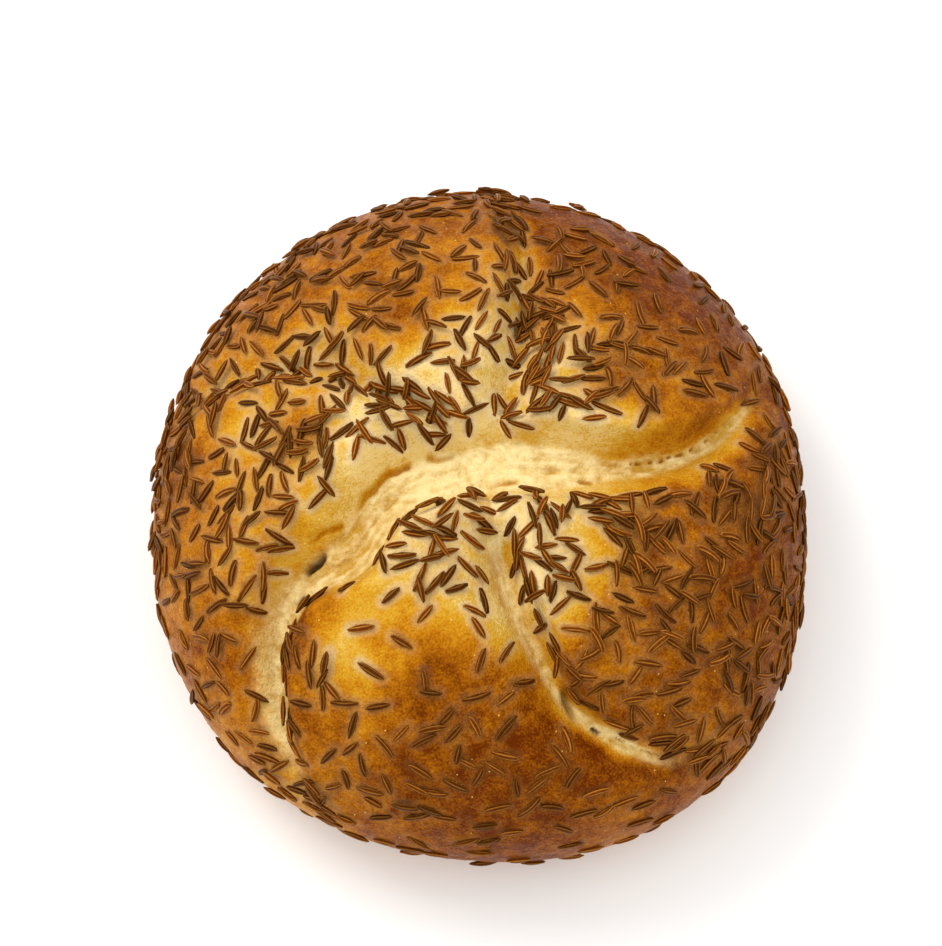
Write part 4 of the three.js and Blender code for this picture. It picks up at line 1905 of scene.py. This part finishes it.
@dataclass(frozen=True)
class SeedScatter:
    """All caraway seeds: five-ribbed spindles set on the crust by Geometry Nodes.

    Attributes:
        ribs: Ribs of a seed.
        steps: Sections along it.
        taper: Power of its taper, fuller where it is lower.
        furrow_share: Depth of the furrows: their radius as a share of the ribs'.
        lopsided: How far its bend is from its middle, as a share of its length.
        blunt: Least width at its ends, before the taper's power.
        random_start: Seed of the draws of shapes and tints.
    """

    seeds: Seeds
    layer: SeedLayer
    finish: SeedFinish
    grain: Grain
    ribs: int = 5
    steps: int = 6
    taper: float = 0.50
    furrow_share: float = 0.80
    lopsided: float = 0.03
    blunt: float = 0.03
    random_start: int = 12

    def points_object(self) -> bpy.types.Object:
        """A mesh of one point for each seed, holding its turn and size.

        Returns:
            The object of that mesh.
        """
        seeds = self.seeds
        thickness = self.layer.thickness_share * seeds.width
        rise = thickness * (0.5 - self.layer.sink_share) + seeds.lift
        points = (seeds.points + seeds.up * rise[:, None]) * MM
        mesh = bpy.data.meshes.new("seed_points")
        mesh.from_pydata(points.tolist(), [], [])
        axes = zip(seeds.along, seeds.side, seeds.up)
        turns = np.array([Matrix(rows).transposed().to_euler() for rows in axes])
        sizes = np.column_stack([seeds.length, seeds.width, thickness]) * MM
        for name, values in (("turn", turns), ("size", sizes)):
            layer = mesh.attributes.new(name, "FLOAT_VECTOR", "POINT")
            layer.data.foreach_set("vector", values.astype(np.float32).ravel())
        return placed("seed_points", mesh)

    def spindle(self, build: NodeBuilder, shape: SeedShape, entry: bpy.types.Node) -> bpy.types.NodeSocket:
        """Adds the nodes of one seed of unit length and width, lying along X.

        Args:
            build: Builder on the tree.
            shape: How bent the seed is.
            entry: The tree's input node.

        Returns:
            The seed as one instance.
        """
        path = build.add(
            "GeometryNodeCurveQuadraticBezier",
            {
                "Resolution": self.steps,
                "Start": (-0.5, -shape.value, 0),
                "Middle": (self.lopsided, 3 * shape.value, 0),
                "End": (0.5, -shape.value, 0),
            },
        )
        factor = build.add("GeometryNodeSplineParameter").outputs["Factor"]
        rest = build.math("SUBTRACT", 1.0, factor)
        whole = build.math("MULTIPLY", build.math("MULTIPLY", factor, rest), 4.0)
        taper = build.math("POWER", build.math("MAXIMUM", whole, self.blunt), entry.outputs["Taper"])
        radius = build.add("GeometryNodeSetCurveRadius", {"Curve": path.outputs[0], "Radius": taper})
        star = build.add(
            "GeometryNodeCurveStar",
            {"Points": self.ribs, "Inner Radius": entry.outputs["Furrow radius"], "Outer Radius": 0.5},
        )
        ribbed = build.add(
            "GeometryNodeStoreNamedAttribute",
            {"Geometry": star.outputs["Curve"], "Name": "rib", "Value": star.outputs["Outer Points"]},
            data_type="FLOAT",
            domain="POINT",
        )
        inputs = {"Curve": radius.outputs[0], "Profile Curve": ribbed.outputs[0], "Scale": taper}
        skin = build.add("GeometryNodeCurveToMesh", {**inputs, "Fill Caps": True})
        return build.add("GeometryNodeGeometryToInstance", {0: skin.outputs[0]}).outputs[0]

    def tree(self, material: bpy.types.Material) -> bpy.types.NodeTree:
        """Builds the tree that sets a seed on each point.

        Args:
            material: The seeds' material.

        Returns:
            The tree.
        """
        tree = bpy.data.node_groups.new("caraway_scatter", "GeometryNodeTree")
        face = tree.interface
        face.new_socket("Geometry", in_out="INPUT", socket_type="NodeSocketGeometry")
        for name in ("Taper", "Furrow radius", "Least tint", "Greatest tint"):
            face.new_socket(name, in_out="INPUT", socket_type="NodeSocketFloat")
        face.new_socket("Geometry", in_out="OUTPUT", socket_type="NodeSocketGeometry")
        build = NodeBuilder(tree)
        entry = build.add("NodeGroupInput")
        shapes = build.add("GeometryNodeJoinGeometry")
        for shape in SeedShape:
            build.fill(shapes, {0: self.spindle(build, shape, entry)})
        inputs = {4: 0, 5: len(SeedShape) - 1, "Seed": self.random_start}
        pick = build.add("FunctionNodeRandomValue", inputs, data_type="INT")
        turn = build.add("GeometryNodeInputNamedAttribute", {"Name": "turn"}, data_type="FLOAT_VECTOR")
        size = build.add("GeometryNodeInputNamedAttribute", {"Name": "size"}, data_type="FLOAT_VECTOR")
        rotation = build.add("FunctionNodeEulerToRotation", {0: turn.outputs[0]})
        laid = build.add(
            "GeometryNodeInstanceOnPoints",
            {
                "Points": entry.outputs["Geometry"],
                "Instance": shapes.outputs[0],
                "Pick Instance": True,
                "Instance Index": pick.outputs[2],
                "Rotation": rotation.outputs[0],
                "Scale": size.outputs[0],
            },
        )
        tints = {2: entry.outputs["Least tint"], 3: entry.outputs["Greatest tint"]}
        inputs = {**tints, "Seed": self.random_start + 1}
        tint = build.add("FunctionNodeRandomValue", inputs, data_type="FLOAT")
        tinted = build.add(
            "GeometryNodeStoreNamedAttribute",
            {"Geometry": laid.outputs[0], "Name": "tint", "Value": tint.outputs[1]},
            data_type="FLOAT",
            domain="INSTANCE",
        )
        real = build.add("GeometryNodeRealizeInstances", {0: tinted.outputs[0]})
        soft = build.add("GeometryNodeSetShadeSmooth", {0: real.outputs[0]})
        dressed = build.add("GeometryNodeSetMaterial", {"Geometry": soft.outputs[0], "Material": material})
        build.add("NodeGroupOutput", {0: dressed.outputs[0]})
        return tree

    def build(self) -> bpy.types.Object:
        """Makes all seeds as one plain mesh.

        Returns:
            The seeds.
        """
        holder = self.points_object()
        tree = self.tree(self.finish.material(self.grain))
        modifier = holder.modifiers.new("scatter", "NODES")
        modifier.node_group = tree
        sizes = {
            "Taper": self.taper,
            "Furrow radius": self.furrow_share / 2,
            "Least tint": 0.0,
            "Greatest tint": 1.0,
        }
        for item in tree.interface.items_tree:
            if item.in_out == "INPUT" and item.name in sizes:
                modifier[item.identifier] = sizes[item.name]
        graph = bpy.context.evaluated_depsgraph_get()
        mesh = bpy.data.meshes.new_from_object(holder.evaluated_get(graph), depsgraph=graph)
        mesh.name = "caraway_seeds"
        seeds = placed("caraway_seeds", mesh)
        bpy.data.objects.remove(holder)
        return seeds


@dataclass(frozen=True)
class Studio:
    """Plain white table, soft light from the upper left, and the photograph's view.

    Attributes:
        elevation_degrees: Angle of the camera above the table.
        distance: Distance of the camera from the point that it turns round, in metres.
        aim_height: Height of that point, in metres.
        frame_width: Width of the photograph, in pixels.
        frame_height: Height of the photograph, in pixels.
        aim_right: Where that point shows in the photograph, in pixels from the left.
        aim_down: The same from the top.
        floor_size: Side of the table, in metres.
        key_power: Power of the lamp, in watts.
        key_size: Side of the lamp, in metres.
        key_place: Where the lamp stands, in metres.
        key_aim: What it shines at, in metres.
        sky_low: Brightness of the surround at eye level.
        sky_high: The same overhead.
    """

    elevation_degrees: float = 70.0
    distance: float = 0.360
    lens: float = 82.4
    sensor: float = 36.0
    aim_height: float = 0.022
    frame_width: int = 942
    frame_height: int = 946
    aim_right: float = 478.3
    aim_down: float = 503.0
    floor_size: float = 4.0
    key_power: float = 2.4
    key_size: float = 0.35
    key_place: tuple[float, float, float] = (-0.42, 0.34, 0.62)
    key_aim: tuple[float, float, float] = (0, 0, 0.02)
    key_colour: tuple[float, float, float] = (1.0, 0.97, 0.92)
    sky_colour: Colour = (1.0, 0.99, 0.97, 1.0)
    sky_low: float = 0.60
    sky_high: float = 1.42

    def camera(self) -> None:
        """Sets the camera at the photograph's angle and framing."""
        data = bpy.data.cameras.new("camera")
        data.lens = self.lens
        data.sensor_width = self.sensor
        data.shift_x = (self.frame_width / 2 - self.aim_right) / self.frame_height
        data.shift_y = (self.aim_down - self.frame_height / 2) / self.frame_height
        tilt = math.radians(self.elevation_degrees)
        back = Vector((0, -math.cos(tilt), math.sin(tilt)))
        camera = placed("camera", data)
        camera.location = Vector((0, 0, self.aim_height)) + back * self.distance
        camera.rotation_euler = (math.radians(90) - tilt, 0, 0)
        bpy.context.scene.camera = camera

    def floor(self, finish: FloorFinish) -> None:
        """Lays the white table under the roll.

        Args:
            finish: What the table looks like.
        """
        half = self.floor_size / 2
        mesh = bpy.data.meshes.new("table")
        corners = [(-half, -half, 0), (half, -half, 0), (half, half, 0), (-half, half, 0)]
        mesh.from_pydata(corners, [], [(0, 1, 2, 3)])
        mesh.materials.append(finish.material())
        table = placed("table", mesh)

    def light(self) -> None:
        """Sets a soft key light at the upper left and an even white surround."""
        world = bpy.data.worlds.new("surround")
        world.use_nodes = True
        build = NodeBuilder(world.node_tree)
        direction = build.add("ShaderNodeTexCoord").outputs["Generated"]
        height = build.add("ShaderNodeSeparateXYZ", {0: direction}).outputs["Z"]
        inputs = {"Value": height, "To Min": self.sky_low, "To Max": self.sky_high}
        glow = build.add("ShaderNodeMapRange", inputs)
        background = world.node_tree.nodes["Background"]
        build.fill(background, {"Color": self.sky_colour, "Strength": glow.outputs[0]})
        bpy.context.scene.world = world
        key = bpy.data.lights.new("key", "AREA")
        key.energy = self.key_power
        key.size = self.key_size
        key.color = self.key_colour
        lamp = placed("key", key)
        lamp.location = self.key_place
        aim = Vector(self.key_aim) - lamp.location
        lamp.rotation_euler = aim.to_track_quat("-Z", "Y").to_euler()

    def grade(self) -> None:
        """Shows colours plainly, as a product photograph does."""
        bpy.context.scene.view_settings.view_transform = "Standard"


def main() -> None:
    """Builds the roll's pieces and the studio."""
    logging.basicConfig(level=logging.INFO, format="%(name)s: %(message)s")
    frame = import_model()
    LOG.info("nodes in the frame: %s", sorted(frame["nodes"]))
    studio = Studio()
    studio.camera()
    studio.floor(FloorFinish())
    studio.light()
    studio.grade()
    grain = Grain()
    form = RollForm()
    layer = SeedLayer(SeedBed(form))
    seeds = layer.lay()
    crossing = int((seeds.lift > 0).sum())
    LOG.info("seeds laid: %d, of which %d cross another", len(seeds.points), crossing)
    crust = Crust(form, seeds, CrustFinish(), grain).build()
    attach(crust, ROOT_BODY)
    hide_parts(BODY_NODE)
    LOG.info("%s: %d faces", crust.name, len(crust.data.polygons))
    scatter = SeedScatter(seeds, layer, SeedFinish(), grain).build()
    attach(scatter, ROOT_BODY)
    LOG.info("%s: %d faces", scatter.name, len(scatter.data.polygons))


if __name__ == "__main__":
    main()
